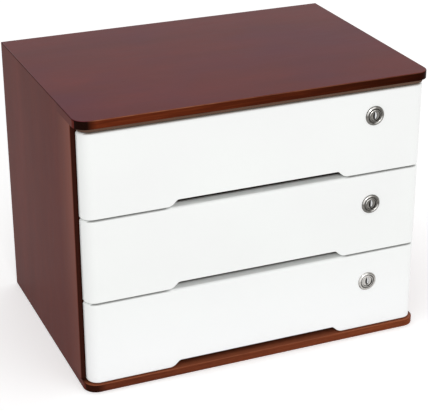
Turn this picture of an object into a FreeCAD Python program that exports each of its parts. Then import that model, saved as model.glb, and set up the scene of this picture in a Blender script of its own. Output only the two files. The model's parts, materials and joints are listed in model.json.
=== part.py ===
"""Desktop file cabinet with three lockable drawers on ball-bearing slides.

Frame: +X to the right of someone facing the drawers, +Y to the back, +Z up, and the origin in
the middle of the footprint, on the surface that the cabinet stands on. All sizes are millimetres.
"""

import FreeCAD, Part
import os
import re
import Sketcher

Vector = FreeCAD.Vector

# Driving dimensions: each is set by itself, and everything else is worked out from them.
SIZES = {
    # carcass
    "overall_width": 400.0,
    "overall_depth": 280.0,
    "overall_height": 310.0,
    "panel_thickness": 9.0,  # top and bottom panels
    "panel_corner_radius": 15.0,  # front corners of those panels, in plan
    "panel_edge_round": 1.2,  # eased upper edge of the top panel, lower edge of the bottom panel
    "side_thickness": 9.0,
    "side_front_round": 4.0,  # outer front edge of a side
    "back_thickness": 5.0,
    "back_recess": 3.0,  # the back panel lies this far in from the rear ends of the sides
    "back_groove_depth": 4.0,
    "groove_play": 0.2,  # a board is this much smaller than its groove, each way
    "lath_height": 3.5,  # lath under the top panel
    "rail_thickness": 9.0,
    "rail_height": 15.0,
    "rail_rise": 2.5,  # top of a divider rail above the middle of the gap in front of it
    "top_rail_height": 12.0,
    # drawer fronts
    "front_setback": 2.0,  # fronts lie this far behind the panels' front edges
    "front_inset": 4.5,  # and this far in from the panels' side edges
    "front_thickness": 15.0,
    "front_corner_radius": 12.0,
    "front_edge_round": 0.8,
    "reveal": 1.5,  # gap above and below each front
    "closing_gap": 1.5,  # gap between the fronts' backs and the carcass
    "pull_length": 201.0,  # finger pull, along the lower edge of the front
    "pull_slope": 7.5,  # how far each end of the pull leans in
    "pull_height": 7.0,
    "pull_round": 5.0,
    # drawer boxes
    "box_side_thickness": 9.0,
    "box_rise": 14.0,  # underside of the box above the lower edge of its front
    "box_top_drop": 16.2,  # top of the box below the top edge of its front
    "box_bottom_thickness": 4.0,
    "box_bottom_rise": 6.0,  # underside of the bottom board above the underside of the box
    "box_groove_depth": 4.0,
    "box_overhang": 0.5,  # the box reaches this much further back than its slides
    # ball-bearing slides
    "slide_back_gap": 2.5,  # between the slides and the back panel
    "slide_overlap": 75.0,  # what the members of a slide still share when the drawer is open
    "slide_space": 10.0,  # room for a slide between the cabinet's side and the box
    "slide_height": 27.0,
    "slide_sheet": 1.0,
    "slide_setback": 1.0,  # slides start this far behind the front ends of the cabinet's sides
    "slide_lip_drop": 1.2,
    "ball_diameter": 3.5,
    "ball_play": 0.1,
    "ball_pitch": 11.0,
    "cage_end_play": 2.5,  # the cage ends this far within that overlap
    "cage_sheet": 0.6,
    "cage_web_gap": 1.5,  # from the outer member's web to the cage's web
    "cage_play": 0.2,  # from the cage to the outer member's lips
    "flange_play": 0.6,  # from the inner member's flanges to the cage's web
    # locks
    "lock_from_right": 61.5,  # lock axis from the right edge of the front
    "lock_drop": 36.2,  # lock axis below the top edge of the middle and bottom fronts
    "top_lock_drop": 28.2,  # the same on the top drawer
    "lock_barrel_diameter": 18.0,
    "lock_rim_height": 2.0,  # crest of the flange's rim in front of the drawer's face
    "lock_rim_width": 3.2,
    "lock_rim_bevel": 2.2,  # the part of that width that slopes down to the edge
    "lock_rim_edge": 0.6,  # thickness of the flange at its edge
    "lock_lip_height": 1.6,  # the lip round the plug
    "lock_lip_width": 1.2,
    "lock_dish_height": 0.8,  # floor of the dish between rim and lip
    "lock_dish_width": 0.74,
    "lock_slope": 0.5,  # slopes on both sides of the dish
    "plug_diameter": 11.6,
    "plug_stem_diameter": 10.0,
    "plug_head_depth": 3.0,
    "plug_play": 0.06,
    "plug_recess": 1.0,
    "keyway_width": 1.8,
    "keyway_height": 7.6,
    "keyway_depth": 12.0,
    "nut_across_flats": 24.0,
    "nut_thickness": 3.5,
    "cam_thickness": 2.0,
    "cam_width": 14.0,
    "cam_reach": 30.0,
    "cam_round": 5.0,
    "cam_play": 0.5,  # between the cam and the back of the rail that it hooks behind
    "cam_gap": 0.3,  # between the cam and the end of the lock's barrel
    "tail_width": 6.0,
    "tail_head_diameter": 9.0,
    "tail_head_thickness": 1.2,
    # dowels and screws
    "dowel_diameter": 6.0,
    "dowel_length": 24.0,
    "dowel_bite": 6.0,  # depth of the dowel holes across a board's thickness
    "hole_play": 0.1,  # a hole is this much wider than its dowel or screw, across
    "dowel_spacing": 36.0,  # between the two dowels at each corner of a drawer box
    "joint_end_distance": 30.0,  # outer top dowels and base screws from the ends of a side
    "base_screw_length": 32.0,
    "base_screw_diameter": 3.5,
    "base_screw_head_diameter": 6.0,
    "slide_screw_length": 7.0,
    "slide_screw_diameter": 3.0,
    "slide_screw_head_diameter": 6.0,
    "slide_screw_head_height": 0.8,
    "slide_screw_end_distance": 28.0,
}

# Worked out from the driving dimensions.
FORMULAS = {
    "half_width": "overall_width / 2",
    "front_y": "-overall_depth / 2",  # front edge of the top and bottom panels
    "back_y": "overall_depth / 2",
    "inner_half": "overall_width / 2 - side_thickness",
    "inner_height": "overall_height - 2 * panel_thickness",
    "face_y": "front_y + front_setback",  # front faces of the drawers
    "box_front_y": "face_y + front_thickness",  # backs of the fronts, where the boxes start
    "side_front_y": "box_front_y + closing_gap",  # front ends of the side panels and the rails
    "side_length": "back_y - side_front_y",
    "back_front_y": "back_y - back_recess - back_thickness",
    "front_half": "half_width - front_inset",
    "pull_top_length": "pull_length - 2 * pull_slope",
    "front_height": "(inner_height - lath_height - 4 * reveal) / 3",
    "front_pitch": "front_height + reveal",
    "lowest_front_z": "panel_thickness + reveal",
    "box_half": "inner_half - slide_space",
    "box_inner_half": "box_half - box_side_thickness",
    "slide_y": "side_front_y + slide_setback",
    "slide_length": "back_front_y - slide_back_gap - slide_y",
    "box_back_y": "slide_y + slide_length + box_overhang",
    "box_back_front_y": "box_back_y - box_side_thickness",
    "box_back_middle_y": "box_back_y - box_side_thickness / 2",
    "box_top": "front_height - box_top_drop",
    "box_side_middle": "box_half - box_side_thickness / 2",
    "bottom_level": "box_rise + box_bottom_rise",
    "groove_low": "bottom_level - groove_play / 2",
    "groove_high": "bottom_level + box_bottom_thickness + groove_play / 2",
    "box_dowel_level": "(bottom_level + box_top) / 2",
    "slide_level": "(box_rise + box_top) / 2",
    "inner_slide_half": "slide_height / 2 - slide_sheet - ball_diameter - 2 * ball_play",
    "ball_level": "slide_height / 2 - slide_sheet - ball_play - ball_diameter / 2",
    "cage_reach": "slide_space - 2 * slide_sheet - cage_play",
    "flange_reach": "slide_space - slide_sheet - cage_web_gap - cage_sheet - flange_play",
    "ball_offset": "(slide_sheet + cage_web_gap + cage_sheet + cage_reach) / 2",
    "cage_length": "slide_overlap - 2 * cage_end_play",
    "cage_y": "slide_y + (slide_length - cage_length) / 2",
    "lock_x": "front_half - lock_from_right",
    "lock_rise": "front_height - lock_drop",
    "top_lock_rise": "front_height - top_lock_drop",
    "rail_back_y": "side_front_y + rail_thickness",
    "cam_y": "rail_back_y + cam_play",
    "barrel_end_y": "cam_y - cam_gap",
    "plug_front_y": "face_y - lock_lip_height + plug_recess",
    "plug_step_y": "plug_front_y + plug_head_depth",
    "tail_end_y": "cam_y + cam_thickness",
    "bore_radius": "plug_diameter / 2 + plug_play",
    "stem_bore_radius": "plug_stem_diameter / 2 + plug_play",
    "lock_lip_radius": "bore_radius + lock_lip_width",
    "lock_dish_radius": "lock_lip_radius + lock_dish_width",
    "lock_flange_radius": "lock_dish_radius + lock_rim_width",
    "nut_corner_radius": "nut_across_flats / sqrt(3)",
    "base_screw_head_height": "(base_screw_head_diameter - base_screw_diameter) / 2",
    "side_middle": "half_width - side_thickness / 2",
    "joint_reach": "side_length / 2 - joint_end_distance",
    "side_middle_y": "(side_front_y + back_y) / 2",
    "rail_middle_y": "side_front_y + rail_thickness / 2",
    "dowel_hole": "dowel_diameter + hole_play",
    "groove_width": "back_thickness + groove_play",
    "slide_screw_hole": "slide_screw_diameter + hole_play",
    "base_screw_hole": "base_screw_diameter + hole_play",
}

DRAWERS = {"bottom_drawer": 0, "middle_drawer": 1, "top_drawer": 2}
SIDES = {"left": -1, "right": 1}

doc = FreeCAD.newDocument("desk_file_cabinet")
sheet = doc.addObject("Spreadsheet::Sheet", "dim")
parts = []


def fill_sheet():
    rows = list(SIZES.items()) + [(name, "=" + text) for name, text in FORMULAS.items()]
    for row, (name, content) in enumerate(rows, start=1):
        sheet.set("A%d" % row, name.replace("_", " "))
        sheet.set("B%d" % row, str(content))
        sheet.setAlias("B%d" % row, name)
    doc.recompute()


def formula(text):
    """An expression for FreeCAD: every word in the text is a cell of the sheet."""
    return re.sub(r"[a-z][a-z_]*", lambda word: "dim." + word.group(0), str(text))


def value(text):
    return float(sheet.evalExpression(formula(text)))


def bind(thing, **settings):
    for name, text in settings.items():
        thing.setExpression(name.replace("__", "."), formula(text))


def place(thing, x="0", y="0", z="0"):
    """Binds where a piece stands, and puts it there."""
    thing.Placement.Base = Vector(value(x), value(y), value(z))
    bind(thing, Placement__Base__x=x, Placement__Base__y=y, Placement__Base__z=z)


def drawer_level(number, height="0"):
    """A height above the lower edge of a drawer's front, as a height above the floor."""
    return "lowest_front_z + %d * front_pitch + %s" % (number, height)


def lock_rise(number):
    """The lock sits a little higher on the top drawer."""
    return "top_lock_rise" if number == DRAWERS["top_drawer"] else "lock_rise"


# Sketches and features of a body


def new_body(label):
    body = doc.addObject("PartDesign::Body", label)
    body.Label = label
    return body


def sub_part(thing, label):
    thing.Label = label
    parts.append(thing)
    return thing


def origin_feature(body, role):
    return [item for item in body.Origin.OriginFeatures if item.Role == role][0]


def add_sketch(body, plane, level="0"):
    """A sketch on one of the body's origin planes, moved along that plane's normal."""
    sketch = body.newObject("Sketcher::SketchObject", body.Name + "_sketch")
    sketch.AttachmentSupport = (origin_feature(body, plane), [""])
    sketch.MapMode = "FlatFace"
    bind(sketch, AttachmentOffset__Base__z=level)
    return sketch


def pin_point(sketch, geometry, vertex, x, y):
    """Holds a sketch point at a place worked out from the sheet."""
    for kind, axis, text in (("DistanceX", -2, x), ("DistanceY", -1, y)):
        if text == "0":
            sketch.addConstraint(Sketcher.Constraint("PointOnObject", geometry, vertex, axis))
            continue
        number = sketch.addConstraint(
            Sketcher.Constraint(kind, -1, 1, geometry, vertex, value(text))
        )
        sketch.setExpression("Constraints[%d]" % number, formula(text))


def add_outline(sketch, corners):
    """A closed run of straight lines through the corners."""
    points = [Vector(value(x), value(y), 0) for x, y in corners]
    first = sketch.GeometryCount
    count = len(points)
    for number, point in enumerate(points):
        sketch.addGeometry(Part.LineSegment(point, points[(number + 1) % count]), False)
    for number in range(count):
        following = first + (number + 1) % count
        sketch.addConstraint(Sketcher.Constraint("Coincident", first + number, 2, following, 1))
    for number, (x, y) in enumerate(corners):
        pin_point(sketch, first + number, 1, x, y)


def add_rectangle(sketch, left, low, right, high):
    add_outline(sketch, [(left, low), (right, low), (right, high), (left, high)])


def add_circle(sketch, x, y, diameter):
    centre = Vector(value(x), value(y), 0)
    circle = Part.Circle(centre, Vector(0, 0, 1), value(diameter) / 2)
    geometry = sketch.addGeometry(circle, False)
    pin_point(sketch, geometry, 3, x, y)
    number = sketch.addConstraint(Sketcher.Constraint("Diameter", geometry, value(diameter)))
    sketch.setExpression("Constraints[%d]" % number, formula(diameter))


def pad(body, sketch, length, backwards=False):
    feature = body.newObject("PartDesign::Pad", body.Name + "_pad")
    feature.Profile = sketch
    feature.Reversed = backwards
    bind(feature, Length=length)
    sketch.Visibility = False
    return feature


def pocket(body, sketch, depth, backwards=False):
    """A pocket that goes against its sketch's normal, or along it when backwards."""
    doc.recompute()
    before = body.Shape.Volume
    feature = body.newObject("PartDesign::Pocket", body.Name + "_pocket")
    feature.Profile = sketch
    feature.Reversed = backwards
    bind(feature, Length=depth)
    sketch.Visibility = False
    doc.recompute()
    if body.Shape.Volume >= before:
        raise RuntimeError("a pocket of %s cuts nothing" % body.Name)
    return feature


def drill(body, plane, level, holes, depth, backwards=False):
    """Round holes with one depth, given as (x, y, diameter) in the plane's own axes."""
    sketch = add_sketch(body, plane, level)
    for x, y, diameter in holes:
        add_circle(sketch, x, y, diameter)
    return pocket(body, sketch, depth, backwards)


def groove(body, plane, level, rectangle, depth, backwards=False):
    sketch = add_sketch(body, plane, level)
    add_rectangle(sketch, *rectangle)
    return pocket(body, sketch, depth, backwards)


def dress(body, kind, chosen, size_name, size):
    """Rounds or bevels the edges that the test picks from the body's present shape."""
    doc.recompute()
    base = body.Tip
    edges = base.Shape.Edges
    names = ["Edge%d" % number for number, edge in enumerate(edges, start=1) if chosen(edge)]
    if not names:
        raise RuntimeError("no edge of %s is picked" % body.Name)
    feature = body.newObject("PartDesign::" + kind, body.Name + "_" + kind.lower())
    feature.Base = (base, names)
    bind(feature, **{size_name: size})
    doc.recompute()
    return feature


def near(first, second):
    return abs(first - second) < 1e-3


def runs_along(edge, axis):
    """Whether a straight edge is parallel to an axis, named by its letter."""
    if edge.Curve.TypeId != "Part::GeomLine":
        return False
    start, end = edge.Vertexes[0].Point, edge.Vertexes[-1].Point
    return all(near(getattr(start, other), getattr(end, other)) for other in "xyz" if other != axis)


def lies_at(edge, axis, level):
    """Whether the whole edge is in the plane at this level of an axis, named by its letter."""
    box = edge.BoundBox
    ends = {"x": (box.XMin, box.XMax), "y": (box.YMin, box.YMax), "z": (box.ZMin, box.ZMax)}[axis]
    return all(near(end, level) for end in ends)


def is_circle(edge, radius):
    return edge.Curve.TypeId == "Part::GeomCircle" and near(edge.Curve.Radius, radius)


def board(label, low, high):
    """A plain board between two corners of the body's own frame."""
    body = new_body(label)
    sketch = add_sketch(body, "XY_Plane", low[2])
    add_rectangle(sketch, low[0], low[1], high[0], high[1])
    pad(body, sketch, "%s - (%s)" % (high[2], low[2]))
    return sub_part(body, label)


def group(label, members):
    """Separate solids that share one node."""
    compound = doc.addObject("Part::Compound", label)
    compound.Links = members
    return sub_part(compound, label)


def cylinder(name, diameter, length, x, y, z, axis):
    """A round pin that starts at a point and runs along an axis."""
    pin = doc.addObject("Part::Cylinder", name)
    bind(pin, Radius="(%s) / 2" % diameter, Height=length)
    pin.Placement.Rotation = FreeCAD.Rotation(Vector(0, 0, 1), axis)
    place(pin, x, y, z)
    return pin


def countersunk_screw(name, x, y):
    """A screw driven upwards, with its flat head flush with the underside of the cabinet."""
    head = doc.addObject("Part::Cone", name + "_head")
    bind(head, Radius1="base_screw_head_diameter / 2", Radius2="base_screw_diameter / 2")
    bind(head, Height="base_screw_head_height")
    place(head, x, y)
    up = Vector(0, 0, 1)
    shank = cylinder(name + "_shank", "base_screw_diameter", "base_screw_length", x, y, "0", up)
    screw = doc.addObject("Part::Fuse", name)
    screw.Base = head
    screw.Tool = shank
    return screw


# Carcass


def panel(label, z, eased_level):
    """A board with rounded front corners and one eased face, as the top and the bottom both are."""
    body = new_body(label)
    sketch = add_sketch(body, "XY_Plane")
    add_rectangle(sketch, "-half_width", "front_y", "half_width", "back_y")
    pad(body, sketch, "panel_thickness")
    front, eased = value("front_y"), value(eased_level)

    def front_corner(edge):
        return runs_along(edge, "z") and lies_at(edge, "y", front)

    dress(body, "Fillet", front_corner, "Radius", "panel_corner_radius")
    dress(body, "Fillet", lambda edge: lies_at(edge, "z", eased), "Radius", "panel_edge_round")
    place(body, z=z)
    return sub_part(body, label)


def joint_rows():
    """Where, from front to back, a side is joined to the top and to the bottom."""
    return ("side_middle_y - joint_reach", "side_middle_y", "side_middle_y + joint_reach")


def joint_places(diameter):
    """The joints of both sides, as (x, y, diameter)."""
    return [(sign + "side_middle", y, diameter) for sign in ("-", "") for y in joint_rows()]


def make_top_panel():
    body = panel("top_panel", "overall_height - panel_thickness", "panel_thickness")
    drill(body, "XY_Plane", "0", joint_places("dowel_hole"), "dowel_bite", backwards=True)


def make_bottom_panel():
    body = panel("bottom_panel", "0", "0")
    holes = joint_places("base_screw_hole")
    drill(body, "XY_Plane", "0", holes, "panel_thickness", backwards=True)
    radius = value("base_screw_hole") / 2
    dress(
        body,
        "Chamfer",
        lambda edge: is_circle(edge, radius) and lies_at(edge, "z", 0),
        "Size",
        "base_screw_head_height",
    )


def rail_levels():
    """The underside of each rail, above the underside of the side panels."""
    divider = "lowest_front_z + %d * front_pitch - reveal / 2 + rail_rise - rail_height - panel_thickness"
    return {
        "lower_divider_rail": (divider % 1, "rail_height"),
        "upper_divider_rail": (divider % 2, "rail_height"),
        "top_lock_rail": ("inner_height - top_rail_height", "top_rail_height"),
    }


def slide_screw_places(number):
    """Screws of one slide, as (y, height above the floor)."""
    level = drawer_level(number, "slide_level")
    first = "slide_y + slide_screw_end_distance"
    last = "slide_y + slide_length - slide_screw_end_distance"
    return [(first, level), (last, level)]


def make_side_panel(side, sign):
    """A side, with the inner face drilled for rails and slides and grooved for the back."""
    outer = "%d * half_width" % sign
    inner = "%d * inner_half" % sign
    low, high = (outer, inner) if sign < 0 else (inner, outer)
    body = board(
        side + "_side_panel",
        (low, "side_front_y", "0"),
        (high, "back_y", "inner_height"),
    )
    side_face, front = value(outer), value("side_front_y")

    def outer_front(edge):
        upright = runs_along(edge, "z")
        return upright and lies_at(edge, "x", side_face) and lies_at(edge, "y", front)

    dress(body, "Fillet", outer_front, "Radius", "side_front_round")
    from_inside = sign > 0
    rectangle = ("back_front_y", "0", "back_front_y + groove_width", "inner_height")
    groove(body, "YZ_Plane", inner, rectangle, "back_groove_depth", backwards=from_inside)
    rails = [
        ("rail_middle_y", "%s + %s / 2" % level, "dowel_hole") for level in rail_levels().values()
    ]
    drill(body, "YZ_Plane", inner, rails, "dowel_bite", backwards=from_inside)
    screws = [
        (y, z + " - panel_thickness", "slide_screw_hole")
        for number in DRAWERS.values()
        for y, z in slide_screw_places(number)
    ]
    drill(body, "YZ_Plane", inner, screws, "slide_screw_length", backwards=from_inside)
    middle = "%d * side_middle" % sign
    dowels = [(middle, y, "dowel_hole") for y in joint_rows()]
    drill(body, "XY_Plane", "inner_height", dowels, "dowel_length - dowel_bite")
    pilots = [(middle, y, "base_screw_hole") for y in joint_rows()]
    depth = "base_screw_length - panel_thickness + hole_play"
    drill(body, "XY_Plane", "0", pilots, depth, backwards=True)
    place(body, z="panel_thickness")


def make_back_panel():
    half = "inner_half + back_groove_depth - groove_play"
    low = ("-(%s)" % half, "back_front_y + groove_play / 2", "0")
    high = (half, "back_front_y + groove_play / 2 + back_thickness", "inner_height")
    place(board("back_panel", low, high), z="panel_thickness")


def make_lath():
    """A lath under the top panel, with the same plan as the drawer fronts."""
    body = new_body("top_front_lath")
    sketch = add_sketch(body, "XY_Plane")
    add_rectangle(sketch, "-front_half", "face_y", "front_half", "side_front_y")
    pad(body, sketch, "lath_height")
    front = value("face_y")
    dress(
        body,
        "Fillet",
        lambda edge: runs_along(edge, "z") and lies_at(edge, "y", front),
        "Radius",
        "front_corner_radius",
    )
    place(body, z="overall_height - panel_thickness - lath_height")
    sub_part(body, "top_front_lath")


def make_rails():
    """Rails behind the fronts, which tie the sides together and hold the lock cams."""
    for name, (level, height) in rail_levels().items():
        low = ("-inner_half", "side_front_y", "0")
        body = board(name, low, ("inner_half", "rail_back_y", height))
        hole = [("rail_middle_y", "%s / 2" % height, "dowel_hole")]
        depth = "dowel_length - dowel_bite"
        drill(body, "YZ_Plane", "-inner_half", hole, depth, backwards=True)
        drill(body, "YZ_Plane", "inner_half", hole, depth)
        place(body, z="panel_thickness + " + level)


def make_carcass_dowels():
    """Dowels from the top panel down into the sides, and from the sides into the rails."""
    dowels = []
    for x, y, _ in joint_places("dowel_hole"):
        z = "overall_height - panel_thickness + dowel_bite - dowel_length"
        name = "top_dowel_%d" % len(dowels)
        dowels.append(cylinder(name, "dowel_diameter", "dowel_length", x, y, z, Vector(0, 0, 1)))
    for level, height in rail_levels().values():
        z = "panel_thickness + %s + %s / 2" % (level, height)
        for start in ("-inner_half - dowel_bite", "inner_half + dowel_bite - dowel_length"):
            name = "rail_dowel_%d" % len(dowels)
            axis = Vector(1, 0, 0)
            dowels.append(
                cylinder(name, "dowel_diameter", "dowel_length", start, "rail_middle_y", z, axis)
            )
    group("carcass_dowels", dowels)


def make_base_screws():
    screws = []
    for x, y, _ in joint_places("base_screw_diameter"):
        name = "base_screw_%d" % len(screws)
        screws.append(countersunk_screw(name, x, y))
    group("base_screws", screws)


# Slides


def make_outer_slide(label, number, sign):
    """The channel on the cabinet's side, open towards the drawer, with lips over the balls."""
    wall = "%d * inner_half" % sign
    inward = -sign

    def at(distance):
        return "%s + %d * (%s)" % (wall, inward, distance)

    reach = "slide_space - slide_sheet"
    half = "slide_height / 2"
    inside = "slide_height / 2 - slide_sheet"
    lip = "slide_height / 2 - slide_sheet - slide_lip_drop"
    upper = [
        (at("slide_sheet"), inside),
        (at("slide_space - 2 * slide_sheet"), inside),
        (at("slide_space - 2 * slide_sheet"), lip),
        (at(reach), lip),
        (at(reach), half),
        (at("0"), half),
    ]
    lower = [(x, "-(%s)" % z) for x, z in reversed(upper)]
    body = new_body(label)
    sketch = add_sketch(body, "XZ_Plane")
    add_outline(sketch, upper + lower)
    pad(body, sketch, "slide_length", backwards=True)
    holes = [(y + " - slide_y", "0", "slide_screw_hole") for y, _ in slide_screw_places(number)]
    drill(body, "YZ_Plane", at("slide_sheet"), holes, "slide_sheet", backwards=sign > 0)
    place(body, y="slide_y", z=drawer_level(number, "slide_level"))
    sub_part(body, label)


def make_inner_slide(label, number, sign):
    """The narrower channel on the drawer's side, open towards the cabinet."""
    box = "%d * box_half" % sign

    def at(distance):
        return "%s + %d * (%s)" % (box, sign, distance)

    inside = "inner_slide_half - slide_sheet"
    upper = [
        (at("slide_sheet"), inside),
        (at("flange_reach"), inside),
        (at("flange_reach"), "inner_slide_half"),
        (at("0"), "inner_slide_half"),
    ]
    lower = [(x, "-(%s)" % z) for x, z in reversed(upper)]
    body = new_body(label)
    sketch = add_sketch(body, "XZ_Plane")
    add_outline(sketch, upper + lower)
    pad(body, sketch, "slide_length", backwards=True)
    holes = [(y + " - slide_y", "0", "slide_screw_hole") for y, _ in slide_screw_places(number)]
    drill(body, "YZ_Plane", at("slide_sheet"), holes, "slide_sheet", backwards=sign < 0)
    place(body, y="slide_y", z=drawer_level(number, "slide_level"))
    sub_part(body, label)


def ball_places():
    """Distances of the balls along a cage."""
    count = int(value("cage_length - 2 * ball_diameter") // value("ball_pitch"))
    start = "(cage_length - %d * ball_pitch) / 2" % count
    return ["%s + %d * ball_pitch" % (start, number) for number in range(count + 1)]


def make_cage(name, sign):
    """A bent strip with holes that keeps the balls of one slide apart."""
    wall = "%d * inner_half" % sign

    def at(distance):
        return "%s + %d * (%s)" % (wall, -sign, distance)

    web = "slide_sheet + cage_web_gap"
    inside = "ball_level - cage_sheet / 2"
    outside = "ball_level + cage_sheet / 2"
    upper = [
        (at(web + " + cage_sheet"), inside),
        (at("cage_reach"), inside),
        (at("cage_reach"), outside),
        (at(web), outside),
    ]
    lower = [(x, "-(%s)" % z) for x, z in reversed(upper)]
    body = new_body(name)
    sketch = add_sketch(body, "XZ_Plane")
    add_outline(sketch, upper + lower)
    pad(body, sketch, "cage_length", backwards=True)
    holes = [(at("ball_offset"), y, "ball_diameter + 2 * ball_play") for y in ball_places()]
    drill(body, "XY_Plane", "slide_height / 2", holes, "slide_height")
    return body


def make_ball_cages(drawer, number):
    """Both cages of one drawer, which roll together, and their balls."""
    level = drawer_level(number, "slide_level")
    members = []
    for side, sign in SIDES.items():
        cage = make_cage("%s_%s_cage" % (drawer, side), sign)
        place(cage, y="cage_y", z=level)
        members.append(cage)
        for row in ("ball_level", "-ball_level"):
            for y in ball_places():
                ball = doc.addObject("Part::Sphere", "%s_ball_%d" % (drawer, len(members)))
                bind(ball, Radius="ball_diameter / 2")
                x = "%d * (inner_half - ball_offset)" % sign
                place(ball, x, "cage_y + " + y, "%s + (%s)" % (level, row))
                members.append(ball)
    group(drawer + "_ball_cages", members)


def slide_screw(name, x, y, z, axis):
    """A flat-headed screw whose head lies on the web and whose shank goes into the wood."""
    head = cylinder(
        name + "_head", "slide_screw_head_diameter", "slide_screw_head_height", x, y, z, axis
    )
    shank = cylinder(
        name + "_shank",
        "slide_screw_diameter",
        "slide_screw_head_height + slide_sheet + slide_screw_length - hole_play",
        x,
        y,
        z,
        axis,
    )
    screw = doc.addObject("Part::Fuse", name)
    screw.Base = head
    screw.Tool = shank
    return screw


def make_cabinet_slide_screws():
    screws = []
    for sign in SIDES.values():
        head = "%d * (inner_half - slide_sheet - slide_screw_head_height)" % sign
        for number in DRAWERS.values():
            for y, z in slide_screw_places(number):
                name = "cabinet_slide_screw_%d" % len(screws)
                screws.append(slide_screw(name, head, y, z, Vector(sign, 0, 0)))
    group("cabinet_slide_screws", screws)


def make_drawer_slide_screws(drawer, number):
    screws = []
    for sign in SIDES.values():
        head = "%d * (box_half + slide_sheet + slide_screw_head_height)" % sign
        for y, z in slide_screw_places(number):
            name = "%s_slide_screw_%d" % (drawer, len(screws))
            screws.append(slide_screw(name, head, y, z, Vector(-sign, 0, 0)))
    group(drawer + "_slide_screws", screws)


# Drawers: every piece is drawn at its height above the lower edge of its own front


def box_dowel_levels():
    return ("box_dowel_level - dowel_spacing / 2", "box_dowel_level + dowel_spacing / 2")


def draw_front(body):
    """The front's outline, with the finger pull in its lower edge."""
    sketch = add_sketch(body, "XZ_Plane", "-face_y")
    corners = [
        ("-front_half", "0"),
        ("-pull_length / 2", "0"),
        ("-pull_top_length / 2", "pull_height"),
        ("pull_top_length / 2", "pull_height"),
        ("pull_length / 2", "0"),
        ("front_half", "0"),
        ("front_half", "front_height"),
        ("-front_half", "front_height"),
    ]
    add_outline(sketch, corners)
    pad(body, sketch, "front_thickness", backwards=True)


def round_front(body):
    """Rounds the pull, then the upright front edges, then the rim of the front face."""
    front, half = value("face_y"), value("front_half")

    def in_pull(edge):
        return runs_along(edge, "y") and abs(edge.BoundBox.XMin) < half - 1

    def upright(edge):
        return runs_along(edge, "z") and lies_at(edge, "y", front)

    def rim(edge):
        return lies_at(edge, "y", front) and not runs_along(edge, "z")

    dress(body, "Fillet", in_pull, "Radius", "pull_round")
    dress(body, "Fillet", upright, "Radius", "front_corner_radius")
    dress(body, "Fillet", rim, "Radius", "front_edge_round")


def make_front(drawer, number):
    """A front with rounded upright edges, drilled and grooved from behind."""
    body = new_body(drawer + "_front")
    draw_front(body)
    round_front(body)
    back = "-box_front_y"
    reach = "box_inner_half + box_groove_depth"
    rectangle = ("-(%s)" % reach, "groove_low", reach, "groove_high")
    groove(body, "XZ_Plane", back, rectangle, "box_groove_depth", backwards=True)
    dowels = [
        (sign + "box_side_middle", z, "dowel_hole") for sign in ("-", "") for z in box_dowel_levels()
    ]
    drill(body, "XZ_Plane", back, dowels, "dowel_bite", backwards=True)
    lock = [("lock_x", lock_rise(number), "lock_barrel_diameter + 2 * hole_play")]
    drill(body, "XZ_Plane", back, lock, "front_thickness", backwards=True)
    place(body, z=drawer_level(number))
    sub_part(body, drawer + "_front")


def make_box_side(drawer, number, side, sign):
    outer = "%d * box_half" % sign
    inner = "%d * box_inner_half" % sign
    low, high = (outer, inner) if sign < 0 else (inner, outer)
    body = board(
        "%s_%s_side" % (drawer, side),
        (low, "box_front_y", "box_rise"),
        (high, "box_back_y", "box_top"),
    )
    rectangle = ("box_front_y", "groove_low", "box_back_front_y + box_groove_depth", "groove_high")
    groove(body, "YZ_Plane", inner, rectangle, "box_groove_depth", backwards=sign > 0)
    back_dowels = [("box_back_middle_y", z, "dowel_hole") for z in box_dowel_levels()]
    drill(body, "YZ_Plane", inner, back_dowels, "dowel_bite", backwards=sign > 0)
    front_dowels = [("%d * box_side_middle" % sign, z, "dowel_hole") for z in box_dowel_levels()]
    drill(body, "XZ_Plane", "-box_front_y", front_dowels, "dowel_length - dowel_bite")
    screws = [(y, "slide_level", "slide_screw_hole") for y, _ in slide_screw_places(number)]
    drill(body, "YZ_Plane", outer, screws, "slide_screw_length", backwards=sign < 0)
    place(body, z=drawer_level(number))


def make_box_back(drawer, number):
    low = ("-box_inner_half", "box_back_front_y", "box_rise")
    body = board(drawer + "_back", low, ("box_inner_half", "box_back_y", "box_top"))
    rectangle = ("-box_inner_half", "groove_low", "box_inner_half", "groove_high")
    groove(body, "XZ_Plane", "-box_back_front_y", rectangle, "box_groove_depth")
    dowels = [("box_back_middle_y", z, "dowel_hole") for z in box_dowel_levels()]
    depth = "dowel_length - dowel_bite"
    drill(body, "YZ_Plane", "-box_inner_half", dowels, depth, backwards=True)
    drill(body, "YZ_Plane", "box_inner_half", dowels, depth)
    place(body, z=drawer_level(number))


def make_box_bottom(drawer, number):
    """A board that lies in the grooves of the front, the sides and the back."""
    bite = "(box_groove_depth - groove_play)"
    half = "box_inner_half + " + bite
    low = ("-(%s)" % half, "box_front_y - " + bite, "bottom_level")
    high = (half, "box_back_front_y + " + bite, "bottom_level + box_bottom_thickness")
    place(board(drawer + "_bottom", low, high), z=drawer_level(number))


def make_box_dowels(drawer, number):
    """Dowels from the front into the sides, and from the sides into the back."""
    dowels = []

    def add(x, y, level, axis):
        name = "%s_dowel_%d" % (drawer, len(dowels))
        z = drawer_level(number, "(%s)" % level)
        dowels.append(cylinder(name, "dowel_diameter", "dowel_length", x, y, z, axis))

    for level in box_dowel_levels():
        for sign in ("-", ""):
            add(sign + "box_side_middle", "box_front_y - dowel_bite", level, Vector(0, 1, 0))
        for start in ("-box_inner_half - dowel_bite", "box_inner_half + dowel_bite - dowel_length"):
            add(start, "box_back_middle_y", level, Vector(1, 0, 0))
    group(drawer + "_dowels", dowels)


# Locks: every piece is drawn about the lock's axis


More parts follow.
